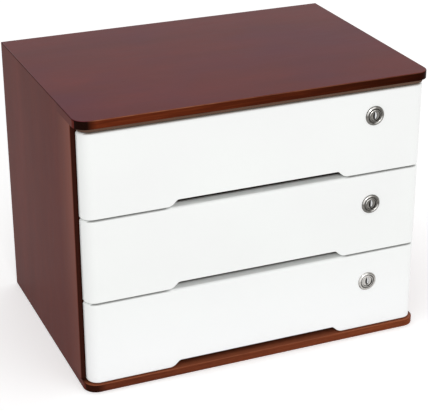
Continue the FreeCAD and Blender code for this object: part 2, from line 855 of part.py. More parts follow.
def turn(body, corners):
    """A piece turned about the body's Y axis, from its (radius, y) outline."""
    sketch = add_sketch(body, "XY_Plane")
    add_outline(sketch, corners)
    feature = body.newObject("PartDesign::Revolution", body.Name + "_revolution")
    feature.Profile = sketch
    feature.ReferenceAxis = (sketch, ["V_Axis"])
    feature.Angle = 360
    sketch.Visibility = False


def finish_lock_piece(body, number):
    place(body, x="lock_x", z=drawer_level(number, lock_rise(number)))
    sub_part(body, body.Label)


def make_lock_housing(drawer, number):
    """A dished flange with a raised lip round the plug, and the barrel through the front."""
    body = new_body(drawer + "_lock_housing")
    corners = [
        ("bore_radius", "face_y - lock_lip_height"),
        ("lock_lip_radius - lock_slope", "face_y - lock_lip_height"),
        ("lock_lip_radius", "face_y - lock_dish_height"),
        ("lock_dish_radius", "face_y - lock_dish_height"),
        ("lock_dish_radius + lock_slope", "face_y - lock_rim_height"),
        ("lock_flange_radius - lock_rim_bevel", "face_y - lock_rim_height"),
        ("lock_flange_radius", "face_y - lock_rim_edge"),
        ("lock_flange_radius", "face_y"),
        ("lock_barrel_diameter / 2", "face_y"),
        ("lock_barrel_diameter / 2", "barrel_end_y"),
        ("stem_bore_radius", "barrel_end_y"),
        ("stem_bore_radius", "plug_step_y + plug_play"),
        ("bore_radius", "plug_step_y + plug_play"),
    ]
    turn(body, corners)
    finish_lock_piece(body, number)


def make_lock_nut(drawer, number):
    """A flat hexagonal nut that clamps the housing from inside the drawer."""
    body = new_body(drawer + "_lock_nut")
    sketch = add_sketch(body, "XZ_Plane", "-box_front_y")
    half_corner = "nut_corner_radius / 2"
    half_flat = "nut_across_flats / 2"
    corners = [
        ("nut_corner_radius", "0"),
        (half_corner, half_flat),
        ("-" + half_corner, half_flat),
        ("-nut_corner_radius", "0"),
        ("-" + half_corner, "-" + half_flat),
        (half_corner, "-" + half_flat),
    ]
    add_outline(sketch, corners)
    add_circle(sketch, "0", "0", "lock_barrel_diameter + hole_play")
    pad(body, sketch, "nut_thickness", backwards=True)
    finish_lock_piece(body, number)


def make_lock_plug(drawer, number):
    """The turning plug: keyway in front, square tail and riveted head behind."""
    body = new_body(drawer + "_lock_plug")
    corners = [
        ("0", "plug_front_y"),
        ("plug_diameter / 2", "plug_front_y"),
        ("plug_diameter / 2", "plug_step_y"),
        ("plug_stem_diameter / 2", "plug_step_y"),
        ("plug_stem_diameter / 2", "cam_y"),
        ("0", "cam_y"),
    ]
    turn(body, corners)
    width, height = "keyway_width / 2", "keyway_height / 2"
    keyway = ("-" + width, "-" + height, width, height)
    groove(body, "XZ_Plane", "-plug_front_y", keyway, "keyway_depth")
    tail = add_sketch(body, "XZ_Plane", "-cam_y")
    add_rectangle(tail, "-tail_width / 2", "-tail_width / 2", "tail_width / 2", "tail_width / 2")
    pad(body, tail, "cam_thickness", backwards=True)
    head = add_sketch(body, "XZ_Plane", "-tail_end_y")
    add_circle(head, "0", "0", "tail_head_diameter")
    pad(body, head, "tail_head_thickness", backwards=True)
    finish_lock_piece(body, number)


def make_lock_cam(drawer, number):
    """A plate on the plug's tail, level when open and turned up behind the rail when locked."""
    body = new_body(drawer + "_lock_cam")
    sketch = add_sketch(body, "XZ_Plane", "-cam_y")
    add_rectangle(sketch, "-cam_reach", "-cam_width / 2", "cam_width / 2", "cam_width / 2")
    pad(body, sketch, "cam_thickness", backwards=True)
    dress(body, "Fillet", lambda edge: runs_along(edge, "y"), "Radius", "cam_round")
    half = "(tail_width / 2 + hole_play)"
    hole = ("-" + half, "-" + half, half, half)
    groove(body, "XZ_Plane", "-cam_y", hole, "cam_thickness")
    finish_lock_piece(body, number)


def make_carcass():
    make_top_panel()
    make_bottom_panel()
    for side, sign in SIDES.items():
        make_side_panel(side, sign)
    make_back_panel()
    make_lath()
    make_rails()
    make_carcass_dowels()
    make_base_screws()


def make_drawer(drawer, number):
    make_front(drawer, number)
    for side, sign in SIDES.items():
        make_box_side(drawer, number, side, sign)
        make_outer_slide("%s_%s_outer_slide" % (drawer, side), number, sign)
        make_inner_slide("%s_%s_inner_slide" % (drawer, side), number, sign)
    make_box_back(drawer, number)
    make_box_bottom(drawer, number)
    make_box_dowels(drawer, number)
    make_ball_cages(drawer, number)
    make_drawer_slide_screws(drawer, number)
    make_lock_housing(drawer, number)
    make_lock_nut(drawer, number)
    make_lock_plug(drawer, number)
    make_lock_cam(drawer, number)


def check_document():
    for thing in doc.Objects:
        if {"Invalid", "Error"} & set(thing.State):
            raise RuntimeError("%s is %s" % (thing.Label, thing.State))
    for thing in parts:
        if thing.Shape.isNull() or not thing.Shape.isValid() or not thing.Shape.Solids:
            raise RuntimeError("%s has no valid solid" % thing.Label)


fill_sheet()
make_carcass()
make_cabinet_slide_screws()
for drawer_name, drawer_number in DRAWERS.items():
    make_drawer(drawer_name, drawer_number)
doc.recompute()
check_document()
os.makedirs("parts", exist_ok=True)
for thing in parts:
    thing.Shape.exportStep("parts/%s.step" % thing.Label)
    print("%-34s %3d solids %10.1f mm3" % (thing.Label, len(thing.Shape.Solids), thing.Shape.Volume))
print(len(parts), "nodes")
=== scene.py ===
# %% [markdown]
# # A desktop cabinet with three white drawers
#
# The cabinet is a stained wooden case with three lacquered drawer fronts. Its pieces come from a
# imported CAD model, which holds every size and every joint. This lesson gives those pieces their
# finish. It models the pieces that catch the light again by hand, with rounder edges than the CAD
# meshes have, and keeps the meshes of the others.

# %% Load the frame
import json
import math
import bmesh
import bpy
from mathutils import Matrix, Vector

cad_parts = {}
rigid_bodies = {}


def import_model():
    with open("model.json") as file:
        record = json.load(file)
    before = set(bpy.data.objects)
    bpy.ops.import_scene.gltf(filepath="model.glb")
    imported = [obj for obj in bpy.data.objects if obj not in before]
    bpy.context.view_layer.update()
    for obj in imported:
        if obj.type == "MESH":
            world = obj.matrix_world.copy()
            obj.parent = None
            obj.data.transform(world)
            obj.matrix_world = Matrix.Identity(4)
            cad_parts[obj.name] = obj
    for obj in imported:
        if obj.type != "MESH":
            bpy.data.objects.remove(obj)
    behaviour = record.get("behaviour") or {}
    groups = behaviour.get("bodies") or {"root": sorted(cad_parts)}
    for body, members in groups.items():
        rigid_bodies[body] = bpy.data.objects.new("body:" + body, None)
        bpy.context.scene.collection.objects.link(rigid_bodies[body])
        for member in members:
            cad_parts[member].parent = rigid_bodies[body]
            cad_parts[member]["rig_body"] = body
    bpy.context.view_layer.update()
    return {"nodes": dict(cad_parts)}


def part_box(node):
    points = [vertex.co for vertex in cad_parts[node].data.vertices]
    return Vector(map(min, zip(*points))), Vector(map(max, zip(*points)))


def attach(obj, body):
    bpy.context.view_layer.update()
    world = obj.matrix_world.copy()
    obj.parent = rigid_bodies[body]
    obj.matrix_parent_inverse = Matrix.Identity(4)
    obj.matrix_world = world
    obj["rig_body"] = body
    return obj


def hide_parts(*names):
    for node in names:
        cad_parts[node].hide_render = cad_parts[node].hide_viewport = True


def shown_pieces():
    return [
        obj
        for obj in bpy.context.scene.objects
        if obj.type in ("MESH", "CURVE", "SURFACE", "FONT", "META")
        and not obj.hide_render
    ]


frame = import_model()
DRAWERS = ("bottom_drawer", "middle_drawer", "top_drawer")
MILLIMETRE = 0.001

# %% [markdown]
# ## Working by selection
#
# Every operator works on what is selected. The loaded nodes are all selected, so each step starts
# by clearing the selection. Edges and faces are then picked in code by where they lie, which
# stays right when a size changes, while an index would not. The axes have numbers, so they get
# names here.


# %% Selection helpers
X, Y, Z = range(3)


def clear_selection():
    if bpy.context.mode != "OBJECT":
        bpy.ops.object.mode_set(mode="OBJECT")
    bpy.ops.object.select_all(action="DESELECT")


def make_active(piece):
    clear_selection()
    piece.select_set(True)
    bpy.context.view_layer.objects.active = piece


def pick_edges(piece, chosen):
    """Opens edit mode with only the chosen edges selected, and says how many there are."""
    make_active(piece)
    bpy.ops.object.mode_set(mode="EDIT")
    bpy.ops.mesh.select_mode(type="EDGE")
    bpy.ops.mesh.select_all(action="DESELECT")
    mesh = bmesh.from_edit_mesh(piece.data)
    picked = [edge for edge in mesh.edges if chosen(edge)]
    for edge in picked:
        edge.select_set(True)
    bmesh.update_edit_mesh(piece.data)
    return len(picked)


def same(first, second, tolerance=0.02 * MILLIMETRE):
    return abs(first - second) < tolerance


def along(edge, axis):
    """Whether an edge runs along an axis."""
    start, end = (vertex.co for vertex in edge.verts)
    return all(same(start[other], end[other]) for other in (X, Y, Z) if other != axis)


def both_at(edge, axis, level):
    """Whether both ends of an edge are at one place along an axis."""
    return all(same(vertex.co[axis], level) for vertex in edge.verts)


# %% [markdown]
# ## Blanks, cuts and rounded edges
#
# A joiner saws a blank, cuts into it and then eases its edges. The same order works here: a cube
# primitive is the blank, a boolean takes the cuts out, and the bevel operator eases the edges.
# Weighted normals keep the flat faces flat next to the small bevels.


# %% Joinery helpers
SMOOTH_ANGLE = 30


def add_blank(name, low, high):
    """A block between two corners, whose place is in its mesh."""
    clear_selection()
    centre = (Vector(low) + Vector(high)) / 2
    size = Vector(high) - Vector(low)
    bpy.ops.mesh.primitive_cube_add(size=1, location=centre, scale=size)
    blank = bpy.context.active_object
    blank.name = name
    blank.data.name = name
    bpy.ops.object.transform_apply(location=True, rotation=True, scale=True)
    return blank


def round_edges(piece, chosen, radius, segments):
    """Bevels the chosen edges, and says how many they are."""
    count = pick_edges(piece, chosen)
    bpy.ops.mesh.bevel(offset=radius, offset_type="OFFSET", segments=segments, affect="EDGES")
    bpy.ops.object.mode_set(mode="OBJECT")
    return count


def cut_with(piece, cutter):
    """Takes the cutter's space out of the piece, and removes the cutter."""
    make_active(piece)
    boolean = piece.modifiers.new("cut", "BOOLEAN")
    boolean.operation = "DIFFERENCE"
    boolean.solver = "EXACT"
    boolean.object = cutter
    bpy.ops.object.modifier_apply(modifier=boolean.name)
    bpy.data.objects.remove(cutter)


def add_bore(centre, radius, low_y, high_y, vertices=48):
    """A round cutter along Y."""
    clear_selection()
    middle = Vector((centre.x, (low_y + high_y) / 2, centre.z))
    bpy.ops.mesh.primitive_cylinder_add(
        vertices=vertices,
        radius=radius,
        depth=high_y - low_y,
        location=middle,
        rotation=(math.pi / 2, 0, 0),
    )
    bpy.ops.object.transform_apply(location=True, rotation=True, scale=True)
    return bpy.context.active_object


def smooth(piece, degrees=SMOOTH_ANGLE):
    """Smooth shading across shallow angles, with the flat faces kept flat."""
    make_active(piece)
    bpy.ops.object.shade_smooth_by_angle(angle=math.radians(degrees))
    weighted = piece.modifiers.new("flat_faces", "WEIGHTED_NORMAL")
    weighted.keep_sharp = True
    bpy.ops.object.modifier_apply(modifier=weighted.name)


def take_over(piece, node):
    """The piece stands for a CAD node, rides on the node's body and takes its slot."""
    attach(piece, frame["nodes"][node]["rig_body"])
    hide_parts(node)


# %% [markdown]
# ## The camera
#
# The cabinet is seen from its front left and a little above. A long lens, nearly two metres
# away, keeps the upright edges almost parallel. The camera starts by looking straight down. It
# is turned in three steps: a slight roll, a tilt up from the floor, and a turn about the upright
# axis.

# %% Camera
CAMERA_PLACE = Vector((-0.5713, -1.3803, 0.8084))
CAMERA_AZIMUTH = math.radians(-22.65)
CAMERA_ELEVATION = math.radians(24.49)
CAMERA_ROLL = math.radians(-0.11)
LENS = 118.95
SENSOR_WIDTH = 36
NEAREST = 0.05

clear_selection()
bpy.ops.object.camera_add()
camera = bpy.context.active_object
camera.name = "camera"
camera.data.lens = LENS
camera.data.sensor_width = SENSOR_WIDTH
camera.data.clip_start = NEAREST
camera.matrix_world = (
    Matrix.Translation(CAMERA_PLACE)
    @ Matrix.Rotation(CAMERA_AZIMUTH, 4, "Z")
    @ Matrix.Rotation(math.pi / 2 - CAMERA_ELEVATION, 4, "X")
    @ Matrix.Rotation(CAMERA_ROLL, 4, "Z")
)
bpy.context.scene.camera = camera
bpy.context.scene.view_settings.view_transform = "Standard"
print("the camera is", round(CAMERA_PLACE.length, 2), "m from the middle of the footprint")

# %% [markdown]
# ## Top and bottom panels
#
# Both panels are sawn from one veneered board: square at the back, with the two front corners
# turned to a quarter circle. The top panel has its upper rim eased all round. The bottom panel
# has its lower rim eased, and its upper rim only where it stands out in front of the sides,
# because behind that it is glued flush under them.

# %% Panels
CORNER_RADIUS = 15 * MILLIMETRE
CORNER_SEGMENTS = 20
PANEL_EASE = 1.2 * MILLIMETRE
EASE_SEGMENTS = 4
UPRIGHT_LIMIT = 0.5
side_front_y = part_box("left_side_panel")[0].y
front_face_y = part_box("top_drawer_front")[0].y


def add_panel(node, radius):
    """A board with two rounded front corners, from the box of its CAD node."""
    low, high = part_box(node)
    panel = add_blank(node + "_board", low, high)
    count = round_edges(
        panel, lambda edge: along(edge, Z) and both_at(edge, Y, low.y), radius, CORNER_SEGMENTS
    )
    print(node, "has", count, "rounded corners")
    return panel, low, high


def ease_rim(panel, level, back_limit):
    """Eases the rim at one height, as far back as a limit."""
    round_edges(
        panel,
        lambda edge: both_at(edge, Z, level)
        and all(vertex.co.y < back_limit for vertex in edge.verts)
        and len(edge.link_faces) == 2
        and any(abs(face.normal.z) < UPRIGHT_LIMIT for face in edge.link_faces),
        PANEL_EASE,
        EASE_SEGMENTS,
    )


top_panel, low, high = add_panel("top_panel", CORNER_RADIUS)
ease_rim(top_panel, high.z, math.inf)
bottom_panel, low, high = add_panel("bottom_panel", CORNER_RADIUS)
ease_rim(bottom_panel, low.z, math.inf)
ease_rim(bottom_panel, high.z, side_front_y)
for panel in (top_panel, bottom_panel):
    smooth(panel)
    print(panel.name, "has", len(panel.data.polygons), "faces")

# %% [markdown]
# ## Side panels
#
# The sides stand between the two panels. Their outer front edge is rounded over with a router,
# so the light runs off it in a soft band next to the white fronts. The other edges are glued
# flush to the panels and stay square.

# %% Side panels
SIDE_ROUND = 4 * MILLIMETRE
SIDE_SEGMENTS = 10


def add_side_panel(node):
    """A board with its outer front edge rounded over."""
    low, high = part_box(node)
    outer = low.x if low.x < 0 else high.x
    side_panel = add_blank(node + "_board", low, high)
    round_edges(
        side_panel,
        lambda edge: along(edge, Z) and both_at(edge, Y, low.y) and both_at(edge, X, outer),
        SIDE_ROUND,
        SIDE_SEGMENTS,
    )
    smooth(side_panel)
    print(side_panel.name, "has", len(side_panel.data.polygons), "faces")
    return side_panel


side_panels = {node: add_side_panel(node) for node in ("left_side_panel", "right_side_panel")}

# %% [markdown]
# ## The lath under the top
#
# A thin lath fills the space between the top panel and the uppermost drawer. It has the plan of
# the drawer fronts, so its ends are rounded like theirs.

# %% Lath
FRONT_CORNER_RADIUS = 12 * MILLIMETRE
lath, low, high = add_panel("top_front_lath", FRONT_CORNER_RADIUS)
smooth(lath)

# %% [markdown]
# ## Drawer fronts
#
# Each front is a thick board with its two upright edges rounded, so that the white wraps round
# the corner. The finger pull is a long shallow notch in the lower edge. It is cut with a tapered
# block whose upper corners are rounded first, and the corners at its foot are rounded after the
# cut. Then the rim of the face is eased, the groove for the bottom board is ploughed, and the
# hole for the lock is bored.
#
# A bevel is sized by its setback from the corner. For a round of some radius at a bend, that is
# the radius times the tangent of half the turn.

# %% Sizes of the finger pull
PULL_HALF = 100.5 * MILLIMETRE
PULL_SLOPE = 7.5 * MILLIMETRE
PULL_HEIGHT = 7 * MILLIMETRE
PULL_REACH = PULL_HALF + PULL_SLOPE
PULL_TOP_ROUND = 3.5 * MILLIMETRE
PULL_TOP_SEGMENTS = 6
PULL_FOOT_ROUND = 10 * MILLIMETRE
PULL_FOOT_SEGMENTS = 8
TAN_HALF_TURN = math.tan(math.atan2(PULL_HEIGHT, PULL_SLOPE) / 2)
BORE_PLAY = 0.1 * MILLIMETRE
CUT_MARGIN = 5 * MILLIMETRE
print("the pull is", round(2 * PULL_HALF / MILLIMETRE), "mm wide at its foot")


# %% Cutters
def add_pull_cutter(low, high):
    """A tapered block, twice as tall as the pull, whose upper half makes the notch."""
    top = low.z + PULL_HEIGHT
    cutter = add_blank(
        "pull_cutter",
        (-PULL_REACH, low.y - CUT_MARGIN, low.z - PULL_HEIGHT),
        (PULL_REACH, high.y + CUT_MARGIN, top),
    )
    pick_edges(cutter, lambda edge: both_at(edge, Z, top))
    narrower = (PULL_HALF - PULL_SLOPE) / PULL_REACH
    bpy.ops.transform.resize(value=(narrower, 1, 1), center_override=(0, 0, top))
    bpy.ops.object.mode_set(mode="OBJECT")
    round_edges(
        cutter,
        lambda edge: along(edge, Y) and both_at(edge, Z, top),
        PULL_TOP_ROUND * TAN_HALF_TURN,
        PULL_TOP_SEGMENTS,
    )
    return cutter


def add_groove_cutter(drawer, low, high):
    """A block where the bottom board enters the back of the front."""
    board_low, board_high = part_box(drawer + "_bottom")
    play = Vector((1, 1, 1)) * BORE_PLAY
    return add_blank(
        "groove_cutter",
        board_low - play,
        Vector((board_high.x, high.y + CUT_MARGIN, board_high.z)) + play,
    )


# %% Ease the rims of a front
TOP_EASE = 3.2 * MILLIMETRE
TOP_EASE_SEGMENTS = 5
FRONT_EASE = 0.8 * MILLIMETRE
FRONT_EASE_SEGMENTS = 3
NEARLY_ZERO = 0.02
LEVEL_LIMIT = 0.3


def upright_not_back(face):
    """Whether a face stands upright and doesn't look back."""
    return abs(face.normal.z) < NEARLY_ZERO and face.normal.y < NEARLY_ZERO


def ease_front(front, low, high):
    """Eases the outline of the face and of the pull, but not the edges at the back.

    The upper edge is rounded most, so that light reaches into the pull of the drawer above it.
    """
    round_edges(
        front,
        lambda edge: both_at(edge, Z, high.z)
        and not both_at(edge, Y, high.y)
        and any(upright_not_back(face) for face in edge.link_faces),
        TOP_EASE,
        TOP_EASE_SEGMENTS,
    )

    def in_outline(edge):
        upright = any(upright_not_back(face) for face in edge.link_faces)
        level = any(abs(face.normal.z) > LEVEL_LIMIT for face in edge.link_faces)
        low_down = max(vertex.co.z for vertex in edge.verts) < low.z + 2 * PULL_HEIGHT
        return upright and level and low_down and not both_at(edge, Y, high.y)

    return round_edges(front, in_outline, FRONT_EASE, FRONT_EASE_SEGMENTS)


# %% Model the fronts
LOCK_BARREL_RADIUS = 9 * MILLIMETRE


def at_pull_foot(edge, low):
    """Whether an edge is a corner where the pull's slope meets the lower edge."""
    return along(edge, Y) and both_at(edge, Z, low.z) and abs(edge.verts[0].co.x) < PULL_REACH


def add_front(drawer):
    """A board with rounded corners, the pull, eased rims, the groove and the lock's hole."""
    node = drawer + "_front"
    low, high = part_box(node)
    front = add_blank(node + "_board", low, high)
    round_edges(
        front,
        lambda edge: along(edge, Z) and both_at(edge, Y, low.y),
        FRONT_CORNER_RADIUS,
        CORNER_SEGMENTS,
    )
    cut_with(front, add_pull_cutter(low, high))
    round_edges(
        front,
        lambda edge: at_pull_foot(edge, low),
        PULL_FOOT_ROUND * TAN_HALF_TURN,
        PULL_FOOT_SEGMENTS,
    )
    count = ease_front(front, low, high)
    cut_with(front, add_groove_cutter(drawer, low, high))
    nut_low, nut_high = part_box(drawer + "_lock_nut")
    lock_axis = (nut_low + nut_high) / 2
    bore = LOCK_BARREL_RADIUS + BORE_PLAY
    cut_with(front, add_bore(lock_axis, bore, low.y - CUT_MARGIN, high.y + CUT_MARGIN))
    smooth(front)
    print(node, "has", len(front.data.polygons), "faces and", count, "eased edges")
    return front


fronts = {drawer: add_front(drawer) for drawer in DRAWERS}

# %% [markdown]
# ## Locks
#
# A cam lock is turned brass with a nickel plate: a flange whose rim rolls over to the wood, a
# dish, a raised lip with a rounded edge, and the plug in the middle. A lathe turns an outline
# round an axis. By hand that is one ring of edges, extruded and scaled again and again, which
# leaves clean even rings for the bevel.
#
# The rounded parts are given point by point. The first number of a point goes along the radius,
# in mm. The second goes along the axis: in mm for the lip, and as a share of the depth for the
# dish and the rim.

# %% Sizes of the locks
LIP_HEIGHT = 1.6 * MILLIMETRE
LIP_WIDTH = 1.5 * MILLIMETRE
DISH_HEIGHT = 0.9 * MILLIMETRE
DISH_WIDTH = 0.3 * MILLIMETRE
LIP_ROUND = ((1.0, 0.0), (0.6, 0.1), (0.2, 0.4), (0.0, 0.7))
DISH_ROUND = ((0.0, 0.0), (0.4, 0.12), (0.85, 0.48), (1.1, 1.0))
RIM_ROUND = ((2.3, 0.0), (1.5, 0.13), (0.8, 0.35), (0.25, 0.62), (0.0, 0.88))
THREAD_PITCH = 1.0 * MILLIMETRE
THREAD_DEPTH = 0.3 * MILLIMETRE
PLUG_PLAY = 0.06 * MILLIMETRE
PLUG_HEAD_DEPTH = 3 * MILLIMETRE
STEM_RADIUS = 5 * MILLIMETRE
STEP_PLAY = 0.1 * MILLIMETRE


# %% Turning helpers
RING_VERTICES = 64
MERGE_DISTANCE = 0.001 * MILLIMETRE
SOFT_SEGMENTS = 2


def turn_outline(name, centre, outline, capped):
    """A turned piece about a line along Y. The outline is a list of (radius, y)."""
    clear_selection()
    radius, y = outline[0]
    bpy.ops.mesh.primitive_circle_add(
        vertices=RING_VERTICES,
        radius=radius,
        fill_type="NGON" if capped else "NOTHING",
        location=(centre.x, y, centre.z),
        rotation=(math.pi / 2, 0, 0),
    )
    piece = bpy.context.active_object
    piece.name = name
    piece.data.name = name
    bpy.ops.object.transform_apply(location=True, rotation=True, scale=True)
    bpy.ops.object.mode_set(mode="EDIT")
    bpy.ops.mesh.select_mode(type="EDGE")
    bpy.ops.mesh.select_all(action="SELECT")
    for next_radius, next_y in outline[1:]:
        bpy.ops.mesh.extrude_edges_move(TRANSFORM_OT_translate={"value": (0, next_y - y, 0)})
        ratio = next_radius / radius
        pivot = (centre.x, next_y, centre.z)
        bpy.ops.transform.resize(value=(ratio, 1, ratio), center_override=pivot)
        radius, y = next_radius, next_y
    if capped:
        bpy.ops.mesh.edge_face_add()
    bpy.ops.mesh.select_all(action="SELECT")
    bpy.ops.mesh.remove_doubles(threshold=MERGE_DISTANCE)
    bpy.ops.mesh.normals_make_consistent(inside=False)
    bpy.ops.object.mode_set(mode="OBJECT")
    return piece


def soften(piece, width, degrees):
    """A small bevel on every edge that is sharper than the angle."""
    make_active(piece)
    bevel = piece.modifiers.new("soften", "BEVEL")
    bevel.width = width
    bevel.segments = SOFT_SEGMENTS
    bevel.limit_method = "ANGLE"
    bevel.angle_limit = math.radians(degrees)
    bpy.ops.object.modifier_apply(modifier=bevel.name)


# %% Model the housings
LOCK_SMOOTH_ANGLE = 40
HOUSING_SOFT_WIDTH = 0.08 * MILLIMETRE
HOUSING_SOFT_ANGLE = 45


def add_housing(drawer):
    """The flange with its rim, dish and lip, and the threaded barrel behind the front."""
    low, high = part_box(drawer + "_lock_housing")
    plug_low, plug_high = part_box(drawer + "_lock_plug")
    front_low, front_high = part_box(drawer + "_front")
    face = front_low.y
    centre = (low + high) / 2
    flange = (high.x - low.x) / 2
    bore = (plug_high.x - plug_low.x) / 2 + PLUG_PLAY
    stem_bore = STEM_RADIUS + PLUG_PLAY
    step = plug_low.y + PLUG_HEAD_DEPTH + STEP_PLAY
    lip = bore + LIP_WIDTH
    dish = lip + DISH_WIDTH
    lip_top = face - LIP_HEIGHT
    dish_floor = face - DISH_HEIGHT
    flange_height = face - low.y
    outline = [(bore, step), (bore, lip_top)]
    for inset, drop in LIP_ROUND:
        outline.append((lip - inset * MILLIMETRE, lip_top + drop * MILLIMETRE))
    for out, rise in DISH_ROUND:
        outline.append((dish + out * MILLIMETRE, dish_floor + rise * (low.y - dish_floor)))
    for inset, drop in RIM_ROUND:
        outline.append((flange - inset * MILLIMETRE, low.y + drop * flange_height))
    outline += [(flange, face), (LOCK_BARREL_RADIUS, face)]
    y = front_high.y
    while y + THREAD_PITCH < high.y:
        outline.append((LOCK_BARREL_RADIUS, y))
        outline.append((LOCK_BARREL_RADIUS - THREAD_DEPTH, y + THREAD_PITCH / 2))
        y += THREAD_PITCH
    outline += [(LOCK_BARREL_RADIUS, y), (LOCK_BARREL_RADIUS, high.y)]
    outline += [(stem_bore, high.y), (stem_bore, step), (bore, step)]
    housing = turn_outline(drawer + "_lock_flange", centre, outline, capped=False)
    soften(housing, HOUSING_SOFT_WIDTH, HOUSING_SOFT_ANGLE)
    smooth(housing, LOCK_SMOOTH_ANGLE)
    return housing


housings = {drawer: add_housing(drawer) for drawer in DRAWERS}
print("a housing has", len(housings["top_drawer"].data.polygons), "faces")

# %% [markdown]
# ## Plugs
#
# The plug is turned the same way, and gets an oval keyhole with the narrow keyway inside it. Its
# square tail is a blank and its riveted head is turned, and both are joined to the plug.

# %% Model the plugs
KEYHOLE_HALF = Vector((2.2, 0, 4.6)) * MILLIMETRE
KEYHOLE_DEPTH = 8 * MILLIMETRE
KEYWAY_HALF = Vector((0.8, 0, 3.6)) * MILLIMETRE
KEYWAY_DEPTH = 12 * MILLIMETRE
PLUG_SOFT_WIDTH = 0.25 * MILLIMETRE
PLUG_SOFT_ANGLE = 40
TAIL_HALF = 3 * MILLIMETRE
RIVET_RADIUS = 4.5 * MILLIMETRE


def add_oval(centre, half, low_y, high_y):
    """An upright oval along Y, from a round one that is pulled taller."""
    oval = add_bore(centre, half.x, low_y, high_y)
    pick_edges(oval, lambda edge: True)
    bpy.ops.transform.resize(value=(1, 1, half.z / half.x), center_override=centre)
    bpy.ops.object.mode_set(mode="OBJECT")
    return oval


def add_plug(drawer):
    """The turned plug with its keyhole and keyway, the square tail and the riveted head."""
    low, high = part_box(drawer + "_lock_plug")
    cam_low, cam_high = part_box(drawer + "_lock_cam")
    centre = (low + high) / 2
    radius = (high.x - low.x) / 2
    step = low.y + PLUG_HEAD_DEPTH
    outline = [(radius, low.y), (radius, step), (STEM_RADIUS, step), (STEM_RADIUS, cam_low.y)]
    plug = turn_outline(drawer + "_lock_core", centre, outline, capped=True)
    cut_with(plug, add_oval(centre, KEYHOLE_HALF, low.y - CUT_MARGIN, low.y + KEYHOLE_DEPTH))
    keyway_low = Vector((centre.x, low.y - CUT_MARGIN, centre.z)) - KEYWAY_HALF
    keyway_high = Vector((centre.x, low.y + KEYWAY_DEPTH, centre.z)) + KEYWAY_HALF
    cut_with(plug, add_blank("keyway", keyway_low, keyway_high))
    soften(plug, PLUG_SOFT_WIDTH, PLUG_SOFT_ANGLE)
    tail_low = Vector((centre.x - TAIL_HALF, cam_low.y, centre.z - TAIL_HALF))
    tail_high = Vector((centre.x + TAIL_HALF, cam_high.y, centre.z + TAIL_HALF))
    tail = add_blank("tail", tail_low, tail_high)
    half_way = cam_high.y + (high.y - cam_high.y) / 2
    head_outline = [
        (RIVET_RADIUS, cam_high.y),
        (RIVET_RADIUS, half_way),
        (RIVET_RADIUS / 2, high.y),
    ]
    head = turn_outline("rivet", centre, head_outline, capped=True)
    clear_selection()
    for part in (tail, head, plug):
        part.select_set(True)
    bpy.context.view_layer.objects.active = plug
    bpy.ops.object.join()
    smooth(plug, LOCK_SMOOTH_ANGLE)
    return plug


plugs = {drawer: add_plug(drawer) for drawer in DRAWERS}
print("a plug has", len(plugs["top_drawer"].data.polygons), "faces")

# %% [markdown]
# ## Shutters
#
# A small sprung flap keeps dust out of the keyhole, and a key pushes it aside. It fills the
# right half of the oval and slopes inwards to the left. It starts as the keyhole's own oval, a
# hair smaller, so that it fits. A tilted block then takes off what lies in front of the slope,
# and an upright one takes off the left part.

# %% Model the shutters
SHUTTER_PLAY = 0.05 * MILLIMETRE
SHUTTER_TOP = 0.3 * MILLIMETRE
SHUTTER_TILT = math.radians(40)
SHUTTER_LEFT = 0.7 * MILLIMETRE


def add_shutter(drawer):
    """The sprung flap in the right half of the keyhole. It slopes inwards from right to left."""
    low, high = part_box(drawer + "_lock_plug")
    centre = (low + high) / 2
    half = KEYHOLE_HALF - Vector((1, 0, 1)) * SHUTTER_PLAY
    shutter = add_oval(centre, half, low.y, low.y + KEYHOLE_DEPTH - SHUTTER_PLAY)
    shutter.name = drawer + "_lock_shutter"
    shutter.data.name = shutter.name
    reach = KEYHOLE_DEPTH * 2
    pivot = Vector((centre.x + half.x, low.y + SHUTTER_TOP, centre.z))
    wedge_low = pivot + Vector((-reach, -reach, -reach))
    wedge = add_blank("wedge", wedge_low, pivot + Vector((reach, 0, reach)))
    pick_edges(wedge, lambda edge: True)
    bpy.ops.transform.rotate(value=SHUTTER_TILT, orient_axis="Z", center_override=pivot)
    bpy.ops.object.mode_set(mode="OBJECT")
    cut_with(shutter, wedge)
    left_half = add_blank(
        "left_half",
        Vector((centre.x - reach, low.y - reach, centre.z - reach)),
        Vector((centre.x + SHUTTER_LEFT, high.y + reach, centre.z + reach)),
    )
    cut_with(shutter, left_half)
    smooth(shutter, LOCK_SMOOTH_ANGLE)
    return shutter


shutters = {drawer: add_shutter(drawer) for drawer in DRAWERS}
print("a shutter has", len(shutters["top_drawer"].data.polygons), "faces")

# %% [markdown]
# ## Every new piece takes its node's place
#
# Each new piece rides on the body of the CAD node that it stands for, so it moves with the
# drawer or the lock as that node did. The shutters are extra pieces, which ride with the plugs.

# %% Ride and replace
take_over(top_panel, "top_panel")
take_over(bottom_panel, "bottom_panel")
take_over(lath, "top_front_lath")
for node, side_panel in side_panels.items():
    take_over(side_panel, node)
for drawer in DRAWERS:
    take_over(fronts[drawer], drawer + "_front")
    take_over(housings[drawer], drawer + "_lock_housing")
    take_over(plugs[drawer], drawer + "_lock_plug")
    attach(shutters[drawer], frame["nodes"][drawer + "_lock_plug"]["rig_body"])
print("the shutters ride with the plugs:", [shutter.name for shutter in shutters.values()])

# %% [markdown]
# ## Shader helpers
#
# Colours are written as they are read off a screen, from 0 to 255, and turned into the linear
# values that shaders use. Each helper adds one kind of node and gives back its result, so a
# material reads like a list of steps. An input can be a socket, which is linked, or a constant.
#
# Noise seldom leaves the middle of its range. So most patterns take that middle part and widen
# it to a full range from 0 to 1. A named pair of numbers below, such as MIDDLE, says where a
# mask starts and where it is full.


